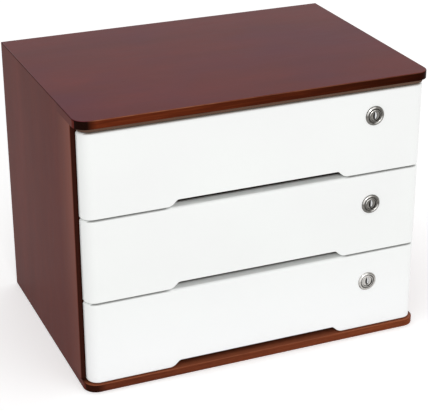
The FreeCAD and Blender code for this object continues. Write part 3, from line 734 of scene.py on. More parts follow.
# %% Node helpers
def screen_colour(red, green, blue):
    """A colour for a shader, from its three values on a screen."""
    linear = [
        part / 12.92 if part <= 0.04045 else ((part + 0.055) / 1.055) ** 2.4
        for part in (red / 255, green / 255, blue / 255)
    ]
    return (*linear, 1)


def add_node(tree, kind, **settings):
    """A node with its settings. A setting that names an input sets that input's value."""
    node = tree.nodes.new("ShaderNode" + kind)
    for name, setting in settings.items():
        socket_name = name.replace("_", " ").title()
        if hasattr(node, name):
            setattr(node, name, setting)
        else:
            node.inputs[socket_name].default_value = setting
    return node


def feed(tree, setting, socket):
    """Links a socket to an input, or sets the input to a constant."""
    if isinstance(setting, bpy.types.NodeSocket):
        tree.links.new(setting, socket)
    else:
        socket.default_value = setting


def new_material(name):
    material = bpy.data.materials.new(name)
    material.use_nodes = True
    tree = material.node_tree
    return material, tree, tree.nodes["Principled BSDF"]


def start_finish(name):
    """A material, its shader, and the sockets for the place and the normal on the object."""
    material, tree, shader = new_material(name)
    return material, tree, shader, add_node(tree, "TexCoord").outputs


# %% Pattern helpers
MIDDLE = (0.3, 0.7)


def mapped(tree, vector, location=(0, 0, 0), rotation=(0, 0, 0), scale=(1, 1, 1)):
    """A vector that is scaled, turned and then moved."""
    mapping = add_node(tree, "Mapping")
    for name, setting in (("Location", location), ("Rotation", rotation), ("Scale", scale)):
        mapping.inputs[name].default_value = setting
    tree.links.new(vector, mapping.inputs["Vector"])
    return mapping.outputs["Vector"]


def add_noise(tree, vector, scale, detail, roughness=0.5, squeeze=(1, 1, 1)):
    """Noise on a vector. A squeeze above 1 along an axis makes the cells narrower there."""
    vector = mapped(tree, vector, scale=squeeze)
    noise = add_node(tree, "TexNoise", scale=scale, detail=detail, roughness=roughness)
    tree.links.new(vector, noise.inputs["Vector"])
    return noise.outputs["Fac"]


def split(tree, vector):
    """The X, Y and Z sockets of a vector."""
    parts = add_node(tree, "SeparateXYZ")
    tree.links.new(vector, parts.inputs["Vector"])
    return parts.outputs


def add_bump(tree, shader, height, strength, distance):
    """Relief without geometry, for what is too fine to model."""
    bump = add_node(tree, "Bump", strength=strength, distance=distance)
    tree.links.new(height, bump.inputs["Height"])
    tree.links.new(bump.outputs["Normal"], shader.inputs["Normal"])


# %% Arithmetic and mixing helpers
def math_node(tree, operation, first, second=0.0):
    """A Math node, whose inputs are sockets or constants."""
    node = add_node(tree, "Math", operation=operation)
    feed(tree, first, node.inputs[0])
    feed(tree, second, node.inputs[1])
    return node.outputs["Value"]


def multiply(tree, first, *others):
    """The product of two or more masks."""
    for other in others:
        first = math_node(tree, "MULTIPLY", first, other)
    return first


def widen(tree, value, low, high, out_low=0.0, out_high=1.0):
    """Stretches a narrow range of a value to another range, and stops at its ends."""
    spread = add_node(tree, "MapRange")
    for name, level in zip(
        ("From Min", "From Max", "To Min", "To Max"), (low, high, out_low, out_high)
    ):
        spread.inputs[name].default_value = level
    tree.links.new(value, spread.inputs["Value"])
    return spread.outputs["Result"]


def mix(tree, kind, factor, first, second):
    """A Mix node, which has sockets of every kind. The kind picks its own."""
    node = add_node(tree, "Mix", data_type=kind)
    tree.links.new(factor, node.inputs["Factor"])
    ends = [item for item in node.inputs if item.type == kind and item.name in ("A", "B")]
    for socket, setting in zip(ends, (first, second)):
        feed(tree, setting, socket)
    return [item for item in node.outputs if item.type == kind][0]


def blend_colours(tree, factor, first, second):
    """A colour between two: the first where the factor is 0, the second where it is 1."""
    return mix(tree, "RGBA", factor, first, second)


# %% [markdown]
# ## Wood grain
#
# Veneer shows four things at once: broad bands along the board, blotches where the stain went in
# deeper, fine fibres, and short dark pores. All four are noise that is stretched along the grain.
# Every wood here needs them, so they are one node group with named sockets, built once. It takes
# a vector whose X runs along the grain, and a Mapping node turns the pattern on each board.

# %% Grain group
FLOAT, VECTOR = "NodeSocketFloat", "NodeSocketVector"
GRAIN_PATTERNS = {
    "Bands": {"scale": 3.0, "detail": 3.0, "roughness": 0.5, "squeeze": (1.2, 6.5, 6.5)},
    "Blotches": {"scale": 38.0, "detail": 4.0, "roughness": 0.6, "squeeze": (1.0, 1.6, 1.6)},
    "Fibre": {"scale": 24.0, "detail": 4.0, "roughness": 0.65, "squeeze": (1.0, 26.0, 26.0)},
    "Pores": {"scale": 120.0, "detail": 2.0, "roughness": 0.5, "squeeze": (1.0, 22.0, 22.0)},
}
PORE_RANGE = (0.62, 0.74)


def new_group(name, inputs, outputs):
    """A shader group with its sockets, and its two end nodes."""
    group = bpy.data.node_groups.new(name, "ShaderNodeTree")
    for direction, sockets in (("INPUT", inputs), ("OUTPUT", outputs)):
        for socket_name, kind in sockets:
            group.interface.new_socket(socket_name, in_out=direction, socket_type=kind)
    return group, group.nodes.new("NodeGroupInput"), group.nodes.new("NodeGroupOutput")


def build_grain_group():
    group, start, end = new_group(
        "wood_grain",
        [("Vector", VECTOR), ("Pore amount", FLOAT)],
        [(name, FLOAT) for name in GRAIN_PATTERNS],
    )
    for name, settings in GRAIN_PATTERNS.items():
        pattern = add_noise(group, start.outputs["Vector"], **settings)
        if name == "Pores":
            pattern = widen(group, pattern, *PORE_RANGE)
            pattern = multiply(group, pattern, start.outputs["Pore amount"])
        group.links.new(pattern, end.inputs[name])
    return group


grain_group = build_grain_group()
print("grain group sockets:", [item.name for item in grain_group.interface.items_tree])

# %% Use of the grain group
GRAIN_ALONG_X = (0, 0, 0)
GRAIN_ALONG_Y = (0, 0, math.pi / 2)
GRAIN_ALONG_Z = (0, math.pi / 2, 0)


def use_group(tree, group, vector):
    """The group in a material, fed with a vector by its first socket."""
    node = tree.nodes.new("ShaderNodeGroup")
    node.node_tree = group
    tree.links.new(vector, node.inputs[0])
    return node


def add_grain(tree, vector, pore_amount):
    """The four grain patterns, along the vector's X."""
    grain = use_group(tree, grain_group, vector)
    grain.inputs["Pore amount"].default_value = pore_amount
    return grain.outputs


def board_grain(tree, coordinates, turned, pore_amount):
    """The grain of a board whose fibres all run one way."""
    vector = mapped(tree, coordinates["Object"], rotation=turned)
    return add_grain(tree, vector, pore_amount)


# %% [markdown]
# ## Where a face looks
#
# Some finishes depend on which way the wood looks. This group reads the normal and gives masks:
# faces that look left or right, upright faces, how far a face looks forward, and the rims eased
# between a level and a forward face. Four times the product of two squared parts of the normal
# peaks at 1 where a face looks halfway between two axes, which is just what an eased edge does.

# %% Direction group
SIDEWAYS_SQUARE = 0.85
UPRIGHT_SQUARE = 0.5


def build_direction_group():
    names = ("Sideways", "Upright", "Forward", "Rim")
    group, start, end = new_group(
        "face_direction", [("Normal", VECTOR)], [(name, FLOAT) for name in names]
    )
    x, y, z = split(group, start.outputs["Normal"])
    x_square, y_square, z_square = (multiply(group, part, part) for part in (x, y, z))
    masks = {
        "Sideways": math_node(group, "GREATER_THAN", x_square, SIDEWAYS_SQUARE),
        "Upright": math_node(group, "LESS_THAN", z_square, UPRIGHT_SQUARE),
        "Forward": multiply(group, y, -1.0),
        "Rim": multiply(group, y_square, z_square, 4.0),
    }
    for name, mask in masks.items():
        group.links.new(mask, end.inputs[name])
    return group


direction_group = build_direction_group()
print("direction group sockets:", [item.name for item in direction_group.interface.items_tree])

# %% [markdown]
# ## Stained veneer
#
# The case is veneered and stained red-brown under a satin varnish. The grain runs along the top
# and bottom panels and up the sides. The ends of the long panels are veneered like the sides, so
# on faces that look left or right the pattern is turned upright. Solid edge bands take more stain
# than the faces, and the eased rims carry a painted highlight, a little lighter than the wood.
#
# The varnish is one step for all the veneers: it hides most of the mirror shine, and its gloss
# follows the fibres.

# %% Stain and varnish
DEEP_STAIN_AND_SHADE = screen_colour(38, 13, 8)
WORN_STAIN = screen_colour(150, 92, 70)
PALE_FIBRES = (0.5, 0.75)
DEEP_FIBRES = (0.5, 0.27)
BLOTCHES = (0.35, 0.75)
BLOTCH_DEPTH = 0.5
VENEER_PORES = 0.3
VENEER_FIBRES = 0.15
GLOSS_FIBRES = (0.2, 0.8)
VARNISH_ROUGHNESS = (0.26, 0.4)
FIBRE_BUMP = 0.1
FIBRE_RELIEF = 0.2 * MILLIMETRE


def show_fibres(tree, grain, colour, depth, pale_colour):
    """Pale and deep fibres over a colour, and the pores. The depth is how strong they are."""
    pale = widen(tree, grain["Fibre"], *PALE_FIBRES, 0.0, depth)
    colour = blend_colours(tree, pale, colour, pale_colour)
    deep = widen(tree, grain["Fibre"], *DEEP_FIBRES, 0.0, depth)
    colour = blend_colours(tree, deep, colour, DEEP_STAIN_AND_SHADE)
    return blend_colours(tree, grain["Pores"], colour, DEEP_STAIN_AND_SHADE)


def stained_face(tree, grain, stains, depth=VENEER_FIBRES):
    """Two stains in bands and blotches, with fibres over them."""
    bands = widen(tree, grain["Bands"], *MIDDLE)
    colour = blend_colours(tree, bands, *stains)
    blotches = widen(tree, grain["Blotches"], *BLOTCHES, 0.0, BLOTCH_DEPTH)
    colour = blend_colours(tree, blotches, colour, stains[0])
    return show_fibres(tree, grain, colour, depth, WORN_STAIN)


def varnish(tree, shader, grain, colour, level):
    """The satin coat: a low specular level, and gloss that follows the fibres."""
    shader.inputs["Specular IOR Level"].default_value = level
    tree.links.new(colour, shader.inputs["Base Color"])
    gloss = widen(tree, grain["Fibre"], *GLOSS_FIBRES, *VARNISH_ROUGHNESS)
    tree.links.new(gloss, shader.inputs["Roughness"])
    add_bump(tree, shader, grain["Fibre"], FIBRE_BUMP, FIBRE_RELIEF)


# %% Colours of the veneers
FACE_STAINS = (screen_colour(92, 30, 31), screen_colour(106, 36, 36))
TOP_BANDS = (screen_colour(102, 42, 20), screen_colour(28, 5, 1))
TOP_PALE_BANDS = (screen_colour(134, 66, 36), screen_colour(60, 16, 5))
BASE_STAINS = (screen_colour(136, 74, 49), screen_colour(154, 86, 58))
BASE_BANDS = (screen_colour(95, 45, 29), screen_colour(130, 66, 40))
BASE_PALE_BANDS = (screen_colour(130, 66, 38), screen_colour(150, 82, 50))
SIDE_STAINS = (screen_colour(84, 29, 23), screen_colour(101, 40, 32))
RAIL_SHADE_TONES = (screen_colour(30, 20, 16), screen_colour(40, 27, 21))
LATH_BOUNCE_TONES = (screen_colour(94, 72, 59), screen_colour(109, 85, 71))
RIM_HIGHLIGHT = screen_colour(205, 142, 104)
SHEEN_TINT = screen_colour(86, 32, 48)
BLACKENED = screen_colour(26, 9, 5)
FRONT_HIGHLIGHT_TINT = screen_colour(130, 72, 57)
END_SHADE = screen_colour(52, 22, 15)
PANEL_VARNISH = 0.055
SIDE_VARNISH = 0.012

# %% [markdown]
# ## Top and bottom panels
#
# The top's face has a painted purple reflection in places, for the sheen of its varnish. The
# bottom's face has painted shade behind its front rim, under the drawer fronts. Each edge band
# changes in tone from left to right, and is black at the left corner.
#
# The bands' varnish is duller than the faces'. A specular level is set as one number for a whole
# material, so that it also reaches the exported model. So a band is a second material: a copy of
# the first with its own level.

# %% Faces and bands of the panels
HALF_WIDTH = 200 * MILLIMETRE
PANEL_FIBRES = 0.12
BAND_FIBRES = 0.45
SHEEN_TINT_RANGE = (0.45, 0.7)
UNDER_FRONT_SHADE_START = front_face_y + 4 * MILLIMETRE
UNDER_FRONT_SHADE_END = front_face_y + 16 * MILLIMETRE
BLACK_START = 22 * MILLIMETRE - HALF_WIDTH
BLACK_END = 12 * MILLIMETRE - HALF_WIDTH
RIM_HIGHLIGHT_BLOTCHES = (0.35, 0.6)
LEAST_RIM_HIGHLIGHT = 0.4


def panel_face(tree, coordinates, place, grain, stains, under_front_shade, sheen_tint_depth):
    """The face's stain, with a painted purple reflection in places and painted shade behind the
    fronts.
    """
    face = stained_face(tree, grain, stains, PANEL_FIBRES)
    # Painted reflection: purple patches stand for the sheen of the varnish.
    sheen_tint = add_noise(tree, coordinates["Object"], scale=8.0, detail=2.0)
    sheen_tint = widen(tree, sheen_tint, *SHEEN_TINT_RANGE, 0.0, sheen_tint_depth)
    face = blend_colours(tree, sheen_tint, face, SHEEN_TINT)
    # Painted shade: the face goes dark behind the front rim, under the drawer fronts.
    under_front_shade_mask = widen(tree, place["Y"], UNDER_FRONT_SHADE_START, UNDER_FRONT_SHADE_END, 0.0, under_front_shade)
    return blend_colours(tree, under_front_shade_mask, face, DEEP_STAIN_AND_SHADE)


def panel_band(tree, place, grain, sideways, black, bands, pale_bands):
    """The edge band: one colour at the left, another at the right, and the sides' stain at the
    ends.
    """
    across = widen(tree, place["X"], -HALF_WIDTH, HALF_WIDTH)
    band = blend_colours(tree, across, *bands)
    pale_band = blend_colours(tree, across, *pale_bands)
    band = show_fibres(tree, grain, band, BAND_FIBRES, pale_band)
    band = blend_colours(tree, black, band, BLACKENED)
    return blend_colours(tree, sideways, band, stained_face(tree, grain, SIDE_STAINS))


# %% Panel veneers
def build_panel_veneer(name, stains, bands, pale_bands, rim_highlight_across, left_black, under_front_shade, sheen_tint_depth):
    """Grain along X on the face, and a painted highlight on the rims. Gives the face's and the
    band's material.
    """
    material, tree, shader, coordinates = start_finish(name)
    place = split(tree, coordinates["Object"])
    direction = use_group(tree, direction_group, coordinates["Normal"]).outputs
    sideways = direction["Sideways"]
    along_x = mapped(tree, coordinates["Object"], rotation=GRAIN_ALONG_X)
    along_z = mapped(tree, coordinates["Object"], rotation=GRAIN_ALONG_Z)
    vector = mix(tree, "VECTOR", sideways, along_x, along_z)
    grain = add_grain(tree, vector, VENEER_PORES)
    black = widen(tree, place["X"], BLACK_START, BLACK_END, 0.0, left_black)

    face = panel_face(tree, coordinates, place, grain, stains, under_front_shade, sheen_tint_depth)
    band = panel_band(tree, place, grain, sideways, black, bands, pale_bands)
    colour = blend_colours(tree, direction["Upright"], face, band)
    # Painted highlight: the eased rims are lighter, fading from left to right.
    rim_highlight = multiply(
        tree,
        widen(tree, grain["Blotches"], *RIM_HIGHLIGHT_BLOTCHES, LEAST_RIM_HIGHLIGHT, 1.0),
        direction["Rim"],
        widen(tree, place["X"], -HALF_WIDTH, HALF_WIDTH, *rim_highlight_across),
        widen(tree, black, 0.0, 1.0, 1.0, 0.0),
    )
    colour = blend_colours(tree, rim_highlight, colour, RIM_HIGHLIGHT)
    varnish(tree, shader, grain, colour, PANEL_VARNISH)

    band_material = material.copy()
    band_material.name = name + "_band"
    band_shader = band_material.node_tree.nodes[shader.name]
    band_shader.inputs["Specular IOR Level"].default_value = SIDE_VARNISH
    return material, band_material


top_veneer, top_band = build_panel_veneer(
    "veneer_top",
    stains=FACE_STAINS,
    bands=TOP_BANDS,
    pale_bands=TOP_PALE_BANDS,
    rim_highlight_across=(0.5, 0.1),
    left_black=1.0,
    under_front_shade=0.0,
    sheen_tint_depth=0.6,
)
base_veneer, base_band = build_panel_veneer(
    "veneer_base",
    stains=BASE_STAINS,
    bands=BASE_BANDS,
    pale_bands=BASE_PALE_BANDS,
    rim_highlight_across=(0.05, 0.1),
    left_black=0.8,
    under_front_shade=1.0,
    sheen_tint_depth=0.0,
)
print("a panel's material has", len(top_veneer.node_tree.nodes), "nodes")

# %% [markdown]
# ## Sides, back, rails and lath
#
# The sides carry a warm painted highlight near the front, stronger higher up, for the light off
# their rounded front edge. Their front end has nearly black painted shade. The back, the rails
# and
# the lath are plain veneer: the rails are painted nearly black, as shade in the gaps behind the
# fronts, and the lath is painted paler and greyer, for light bounced onto it from the white
# front.

# %% Side, back, rail and lath veneers
FRONT_HIGHLIGHT_START = side_front_y + 50 * MILLIMETRE
FRONT_HIGHLIGHT_END = side_front_y + 5 * MILLIMETRE
FRONT_HIGHLIGHT_DEPTH = 0.8
FRONT_HIGHLIGHT_HEIGHTS = (80 * MILLIMETRE, 200 * MILLIMETRE)
LEAST_FRONT_HIGHLIGHT = 0.45
END_SHADE_RANGE = (0.15, 0.5)


def build_side_veneer():
    """Grain up the board, a painted warm highlight near the front, and painted shade on the front
    end.
    """
    material, tree, shader, coordinates = start_finish("veneer_side")
    place = split(tree, coordinates["Object"])
    direction = use_group(tree, direction_group, coordinates["Normal"]).outputs
    grain = board_grain(tree, coordinates, GRAIN_ALONG_Z, VENEER_PORES)
    colour = stained_face(tree, grain, SIDE_STAINS)
    # Painted highlight: a warm band near the front edge, stronger higher up.
    front_highlight = multiply(
        tree,
        widen(tree, place["Y"], FRONT_HIGHLIGHT_START, FRONT_HIGHLIGHT_END, 0.0, FRONT_HIGHLIGHT_DEPTH),
        widen(tree, place["Z"], *FRONT_HIGHLIGHT_HEIGHTS, LEAST_FRONT_HIGHLIGHT, 1.0),
    )
    colour = blend_colours(tree, front_highlight, colour, FRONT_HIGHLIGHT_TINT)
    # Painted shade: the side's front end is made nearly black.
    end_shade = widen(tree, direction["Forward"], *END_SHADE_RANGE)
    colour = blend_colours(tree, end_shade, colour, END_SHADE)
    varnish(tree, shader, grain, colour, SIDE_VARNISH)
    return material


def build_plain_veneer(name, stains, turned):
    """The same stain all over."""
    material, tree, shader, coordinates = start_finish(name)
    grain = board_grain(tree, coordinates, turned, VENEER_PORES)
    varnish(tree, shader, grain, stained_face(tree, grain, stains), PANEL_VARNISH)
    return material


side_veneer = build_side_veneer()
back_veneer = build_plain_veneer("veneer_back", SIDE_STAINS, GRAIN_ALONG_Z)
# Painted shade: the rails are nearly black, for the dark gaps between the fronts.
rail_veneer = build_plain_veneer("veneer_rail", RAIL_SHADE_TONES, GRAIN_ALONG_X)
# Painted light: the lath is paler and greyer, for light bounced onto it from the white front.
lath_veneer = build_plain_veneer("veneer_lath", LATH_BOUNCE_TONES, GRAIN_ALONG_X)
print("the sides' material has", len(side_veneer.node_tree.nodes), "nodes")

# %% [markdown]
# ## White lacquer
#
# Gloss lacquer on board is almost even. Close up, the sprayed coat has a faint orange-peel
# ripple, and its white drifts by a hair between warm and cool. Low down the white is painted
# brighter, a painted light where the lower fronts get less lamp light. On the upper edges, which
# are hidden with the drawers shut, the back is painted grey as shade deep in the gaps between the
# fronts. Along the front of those edges a thin grey line of painted shade marks the gaps beside
# the pulls above, and the top drawer's line, under the panel, is a browner painted shade.

# %% Colours and places of the lacquer
COOL_WHITE = screen_colour(245, 246, 245)
WARM_WHITE = screen_colour(247, 249, 247)
PAINTED_LOW_LIGHT_WHITE = screen_colour(253, 254, 254)
BACK_EDGE_SHADE_GREY = screen_colour(120, 118, 114)
GAP_SHADE_GREY = screen_colour(152, 152, 150)
TOP_GAP_SHADE_GREY = screen_colour(165, 158, 150)
PAINTED_LOW_LIGHT_HEIGHTS = (120 * MILLIMETRE, 30 * MILLIMETRE)
BACK_EDGE_SHADE_START = front_face_y + 10.5 * MILLIMETRE
BACK_EDGE_SHADE_END = front_face_y + 14.5 * MILLIMETRE
GAP_SHADE_START = front_face_y + 4.5 * MILLIMETRE
GAP_SHADE_END = front_face_y + 3.5 * MILLIMETRE
TOP_FRONT_HEIGHTS = (240 * MILLIMETRE, 250 * MILLIMETRE)
BACK_EDGE_SHADE_UP = (0.9, 0.99)
GAP_SHADE_UP = (0.5, 0.9)


# %% Lacquer material
def edge_masks(tree, place, up):
    """Where painted shade darkens the upper edges at the back and along the front, and which
    front is the top one.

    The last input says how far up a face looks, from -1 to 1.
    """
    at_back = widen(tree, place["Y"], BACK_EDGE_SHADE_START, BACK_EDGE_SHADE_END)
    back_edge_shade = multiply(tree, widen(tree, up, *BACK_EDGE_SHADE_UP), at_back)
    squared_x = multiply(tree, place["X"], place["X"])
    beside_pull = widen(tree, squared_x, PULL_HALF**2, PULL_REACH**2)
    top_front = widen(tree, place["Z"], *TOP_FRONT_HEIGHTS)
    gap_shade = multiply(
        tree,
        math_node(tree, "MAXIMUM", top_front, beside_pull),
        widen(tree, up, *GAP_SHADE_UP),
        widen(tree, place["Y"], GAP_SHADE_START, GAP_SHADE_END),
    )
    return back_edge_shade, gap_shade, top_front


def build_lacquer():
    material, tree, shader, coordinates = start_finish("white_lacquer")
    place = split(tree, coordinates["Object"])
    up = split(tree, coordinates["Normal"])["Z"]
    drift = add_noise(tree, coordinates["Object"], scale=9.0, detail=2.0)
    colour = blend_colours(tree, widen(tree, drift, *MIDDLE), COOL_WHITE, WARM_WHITE)
    # Painted light: the white is lifted low down, where the lower fronts get less lamp light.
    colour = blend_colours(tree, widen(tree, place["Z"], *PAINTED_LOW_LIGHT_HEIGHTS), colour, PAINTED_LOW_LIGHT_WHITE)
    back_edge_shade, gap_shade, top_front = edge_masks(tree, place, up)
    # Painted shade: grey at the back of the upper edges, for the dark gaps between the fronts.
    colour = blend_colours(tree, back_edge_shade, colour, BACK_EDGE_SHADE_GREY)
    # Painted shade: a grey line along the front of the upper edges, browner under the top panel.
    gap_shade_colour = blend_colours(tree, top_front, GAP_SHADE_GREY, TOP_GAP_SHADE_GREY)
    colour = blend_colours(tree, gap_shade, colour, gap_shade_colour)
    tree.links.new(colour, shader.inputs["Base Color"])
    shader.inputs["Roughness"].default_value = 0.3
    shader.inputs["Coat Weight"].default_value = 0.3
    shader.inputs["Coat Roughness"].default_value = 0.12
    peel = add_noise(tree, coordinates["Object"], scale=420.0, detail=2.0)
    add_bump(tree, shader, peel, strength=0.05, distance=0.2 * MILLIMETRE)
    return material


lacquer = build_lacquer()
print("the lacquer's material has", len(lacquer.node_tree.nodes), "nodes")

# %% [markdown]
# ## Birch plywood
#
# The drawer boxes are varnished birch plywood. Their faces show pale grain, and their edges show
# the plies: thin layers, light and dark in turn, because the grain of every second one is cut
# across. The stripes follow the axis that goes through the board, so there is one material for
# the sides, one for the backs and one for the bottoms.

# %% Plywood materials
PLY_THICKNESS = 1.5 * MILLIMETRE
BIRCH_TONES = (screen_colour(214, 184, 140), screen_colour(226, 200, 160))
BIRCH_FIBRE = screen_colour(190, 152, 104)
PLY_TONES = (screen_colour(222, 194, 150), screen_colour(172, 130, 84))
BIRCH_FIBRES = (0.45, 0.9)
BIRCH_FIBRE_DEPTH = 0.6
BIRCH_PORES = 0.25
EDGE_LIMIT = 0.5


def build_plywood(name, through, turned):
    """Plywood whose plies lie one over the other along the axis that goes through it."""
    material, tree, shader, coordinates = start_finish(name)
    grain = board_grain(tree, coordinates, turned, BIRCH_PORES)
    face = blend_colours(tree, widen(tree, grain["Bands"], *MIDDLE), *BIRCH_TONES)
    fibre = widen(tree, grain["Fibre"], *BIRCH_FIBRES, 0.0, BIRCH_FIBRE_DEPTH)
    face = blend_colours(tree, fibre, face, BIRCH_FIBRE)
    depth = split(tree, coordinates["Object"])[through]
    plies = math_node(tree, "PINGPONG", depth, PLY_THICKNESS)
    dark_ply = math_node(tree, "GREATER_THAN", plies, PLY_THICKNESS / 2)
    edge = blend_colours(tree, dark_ply, *PLY_TONES)
    looks_through = math_node(tree, "ABSOLUTE", split(tree, coordinates["Normal"])[through])
    on_edge = math_node(tree, "LESS_THAN", looks_through, EDGE_LIMIT)
    colour = blend_colours(tree, on_edge, face, edge)
    tree.links.new(colour, shader.inputs["Base Color"])
    shader.inputs["Roughness"].default_value = 0.45
    add_bump(tree, shader, grain["Fibre"], FIBRE_BUMP, FIBRE_RELIEF)
    return material


side_plywood = build_plywood("birch_side", "X", GRAIN_ALONG_Y)
back_plywood = build_plywood("birch_back", "Y", GRAIN_ALONG_X)
bottom_plywood = build_plywood("birch_bottom", "Z", GRAIN_ALONG_Y)
print("a plywood's material has", len(side_plywood.node_tree.nodes), "nodes")

# %% [markdown]
# ## Zinc and steel
#
# The slides are rolled from zinc-plated strip, with streaks along their length and a faint cloudy
# tint. The ball cages and the shutters in the keyholes are plain bright steel, with a fine even
# grain.

# %% Zinc and steel
METAL_BUMP = 0.05
METAL_RELIEF = 0.1 * MILLIMETRE


def finish_metal(tree, shader, colour, pattern, roughness):
    """Plain metal whose gloss and relief follow the pattern."""
    shader.inputs["Metallic"].default_value = 1.0
    tree.links.new(colour, shader.inputs["Base Color"])
    gloss = widen(tree, pattern, *MIDDLE, *roughness)
    tree.links.new(gloss, shader.inputs["Roughness"])
    add_bump(tree, shader, pattern, METAL_BUMP, METAL_RELIEF)


def build_metal(name, tones, roughness, scale, squeeze):
    """A metal whose tone and gloss vary along streaks."""
    material, tree, shader, coordinates = start_finish(name)
    streak = add_noise(tree, coordinates["Object"], scale, detail=4.0, squeeze=squeeze)
    colour = blend_colours(tree, widen(tree, streak, *MIDDLE), *tones)
    finish_metal(tree, shader, colour, streak, roughness)
    return material


zinc = build_metal(
    "zinc_plate",
    tones=(screen_colour(176, 180, 184), screen_colour(205, 207, 208)),
    roughness=(0.28, 0.42),
    scale=40.0,
    squeeze=(12, 1, 12),
)
steel = build_metal(
    "bright_steel",
    tones=(screen_colour(190, 190, 191), screen_colour(214, 214, 214)),
    roughness=(0.12, 0.2),
    scale=200.0,
    squeeze=(1, 1, 1),
)
print("a metal's material has", len(zinc.node_tree.nodes), "nodes")

# %% [markdown]
# ## Nickel on the locks
#
# The nickel plate has a cloudy tone. The grooves between its rings get painted shade. Parts of
# the rings carry painted highlights, where the lamp's glint falls, and on the lowest lock also
# painted dark reflections. The lowest lock's nickel is painted paler, for its brighter
# reflection.
#
# Grooves and patches are given by how far they lie from the lock's axis and by half their width,
# both in mm. A patch also has the direction in which it lies, as seen from the axis.

# %% Places and colours on the locks
DARK_NICKEL = (screen_colour(98, 96, 92), screen_colour(128, 125, 120))
PALE_NICKEL = (screen_colour(172, 170, 166), screen_colour(202, 199, 195))
GROOVE_SHADE = screen_colour(26, 24, 22)
PAINTED_GLINT = screen_colour(236, 234, 230)
PAINTED_DARK_REFLECTION = screen_colour(112, 109, 104)
DARK_LOCK_GROOVES = ((5.86, 0.25), (7.6, 0.35))
PALE_LOCK_GROOVES = ((5.86, 0.35), (7.8, 0.6))
UP_LEFT = Vector((-0.64, 0, 0.77))
UP_RIGHT = Vector((0.6, 0, 0.8))
DARK_LOCK_PAINTED_SPOTS = (
    (9.9, 0.8, UP_LEFT, PAINTED_GLINT),
    (8.5, 0.6, -UP_LEFT, PAINTED_GLINT),
    (6.6, 0.35, UP_LEFT, PAINTED_GLINT),
)
PALE_LOCK_PAINTED_SPOTS = (
    (9.9, 0.8, UP_LEFT, PAINTED_GLINT),
    (9.8, 0.9, UP_RIGHT, PAINTED_DARK_REFLECTION),
    (10.6, 0.5, -UP_RIGHT, PAINTED_DARK_REFLECTION),
)
RING_STRENGTH = 0.9
PAINTED_SPOT_REACH = (0.7, 0.92)
NICKEL_ROUGHNESS = (0.16, 0.26)


# %% Nickel material
def vector_node(tree, operation, first, second=(0, 0, 0)):
    """A Vector Math node. Its result is a number for a length or a dot product."""
    node = add_node(tree, "VectorMath", operation=operation)
    feed(tree, first, node.inputs[0])
    feed(tree, second, node.inputs[1])
    return node.outputs["Value" if operation in ("LENGTH", "DOT_PRODUCT") else "Vector"]


def ring_mask(tree, radius, middle, half):
    """A soft ring about the axis."""
    offset = math_node(tree, "SUBTRACT", radius, middle * MILLIMETRE)
    distance = math_node(tree, "ABSOLUTE", offset)
    outer = half * MILLIMETRE
    return widen(tree, distance, outer, outer / 2, 0.0, RING_STRENGTH)


def from_lock_axis(tree, coordinates, drawer):
    """The place on the object, counted from the lock's axis and flattened along it."""
    low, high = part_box(drawer + "_lock_plug")
    centre = (low + high) / 2
    moved = (-centre.x, 0, -centre.z)
    return mapped(tree, coordinates["Object"], location=moved, scale=(1, 0, 1))


def build_lock_metal(drawer, tones, painted_spots, grooves):
    """Nickel with painted shade in the ring grooves, and patches of painted highlight or dark
    reflection.
    """
    material, tree, shader, coordinates = start_finish(drawer + "_nickel")
    cloud = add_noise(tree, coordinates["Object"], scale=300.0, detail=4.0)
    colour = blend_colours(tree, widen(tree, cloud, *MIDDLE), *tones)
    flat = from_lock_axis(tree, coordinates, drawer)
    outwards = vector_node(tree, "NORMALIZE", flat)
    radius = vector_node(tree, "LENGTH", flat)
    # Painted highlights and painted dark reflections in patches on the rings.
    for middle, half, towards, painted_tone in painted_spots:
        agreement = vector_node(tree, "DOT_PRODUCT", outwards, towards)
        ring = ring_mask(tree, radius, middle, half)
        painted_spot = multiply(tree, widen(tree, agreement, *PAINTED_SPOT_REACH), ring)
        colour = blend_colours(tree, painted_spot, colour, painted_tone)
    # Painted shade: the grooves between the rings are darkened.
    for middle, half in grooves:
        colour = blend_colours(tree, ring_mask(tree, radius, middle, half), colour, GROOVE_SHADE)
    finish_metal(tree, shader, colour, cloud, NICKEL_ROUGHNESS)
    return material


# The lowest lock's paler nickel is painted to stand for its brighter reflection.
nickel = {
    "bottom_drawer": build_lock_metal(
        "bottom_drawer", PALE_NICKEL, PALE_LOCK_PAINTED_SPOTS, PALE_LOCK_GROOVES
    ),
    "middle_drawer": build_lock_metal("middle_drawer", DARK_NICKEL, DARK_LOCK_PAINTED_SPOTS, DARK_LOCK_GROOVES),
    "top_drawer": build_lock_metal("top_drawer", DARK_NICKEL, DARK_LOCK_PAINTED_SPOTS, DARK_LOCK_GROOVES),
}
print("a lock's material has", len(nickel["top_drawer"].node_tree.nodes), "nodes")

# %% [markdown]
# ## Dowels
#
# Beech dowels are turned from pale wood with short dark flecks. They are hidden once the cabinet
# is glued, and show only when it is taken apart.

# %% Beech material
BEECH_TONES = (screen_colour(196, 154, 108), screen_colour(216, 178, 132))
BEECH_FLECK = screen_colour(140, 92, 58)
BEECH_PORES = 0.9
BEECH_BUMP = 0.2


def build_beech():
    material, tree, shader, coordinates = start_finish("beech")
    grain = board_grain(tree, coordinates, GRAIN_ALONG_X, BEECH_PORES)
    wood = blend_colours(tree, widen(tree, grain["Fibre"], *MIDDLE), *BEECH_TONES)
    flecked = blend_colours(tree, grain["Pores"], wood, BEECH_FLECK)
    tree.links.new(flecked, shader.inputs["Base Color"])
    shader.inputs["Roughness"].default_value = 0.6
    add_bump(tree, shader, grain["Fibre"], BEECH_BUMP, FIBRE_RELIEF)
    return material


beech = build_beech()
print("the dowels' material has", len(beech.node_tree.nodes), "nodes")

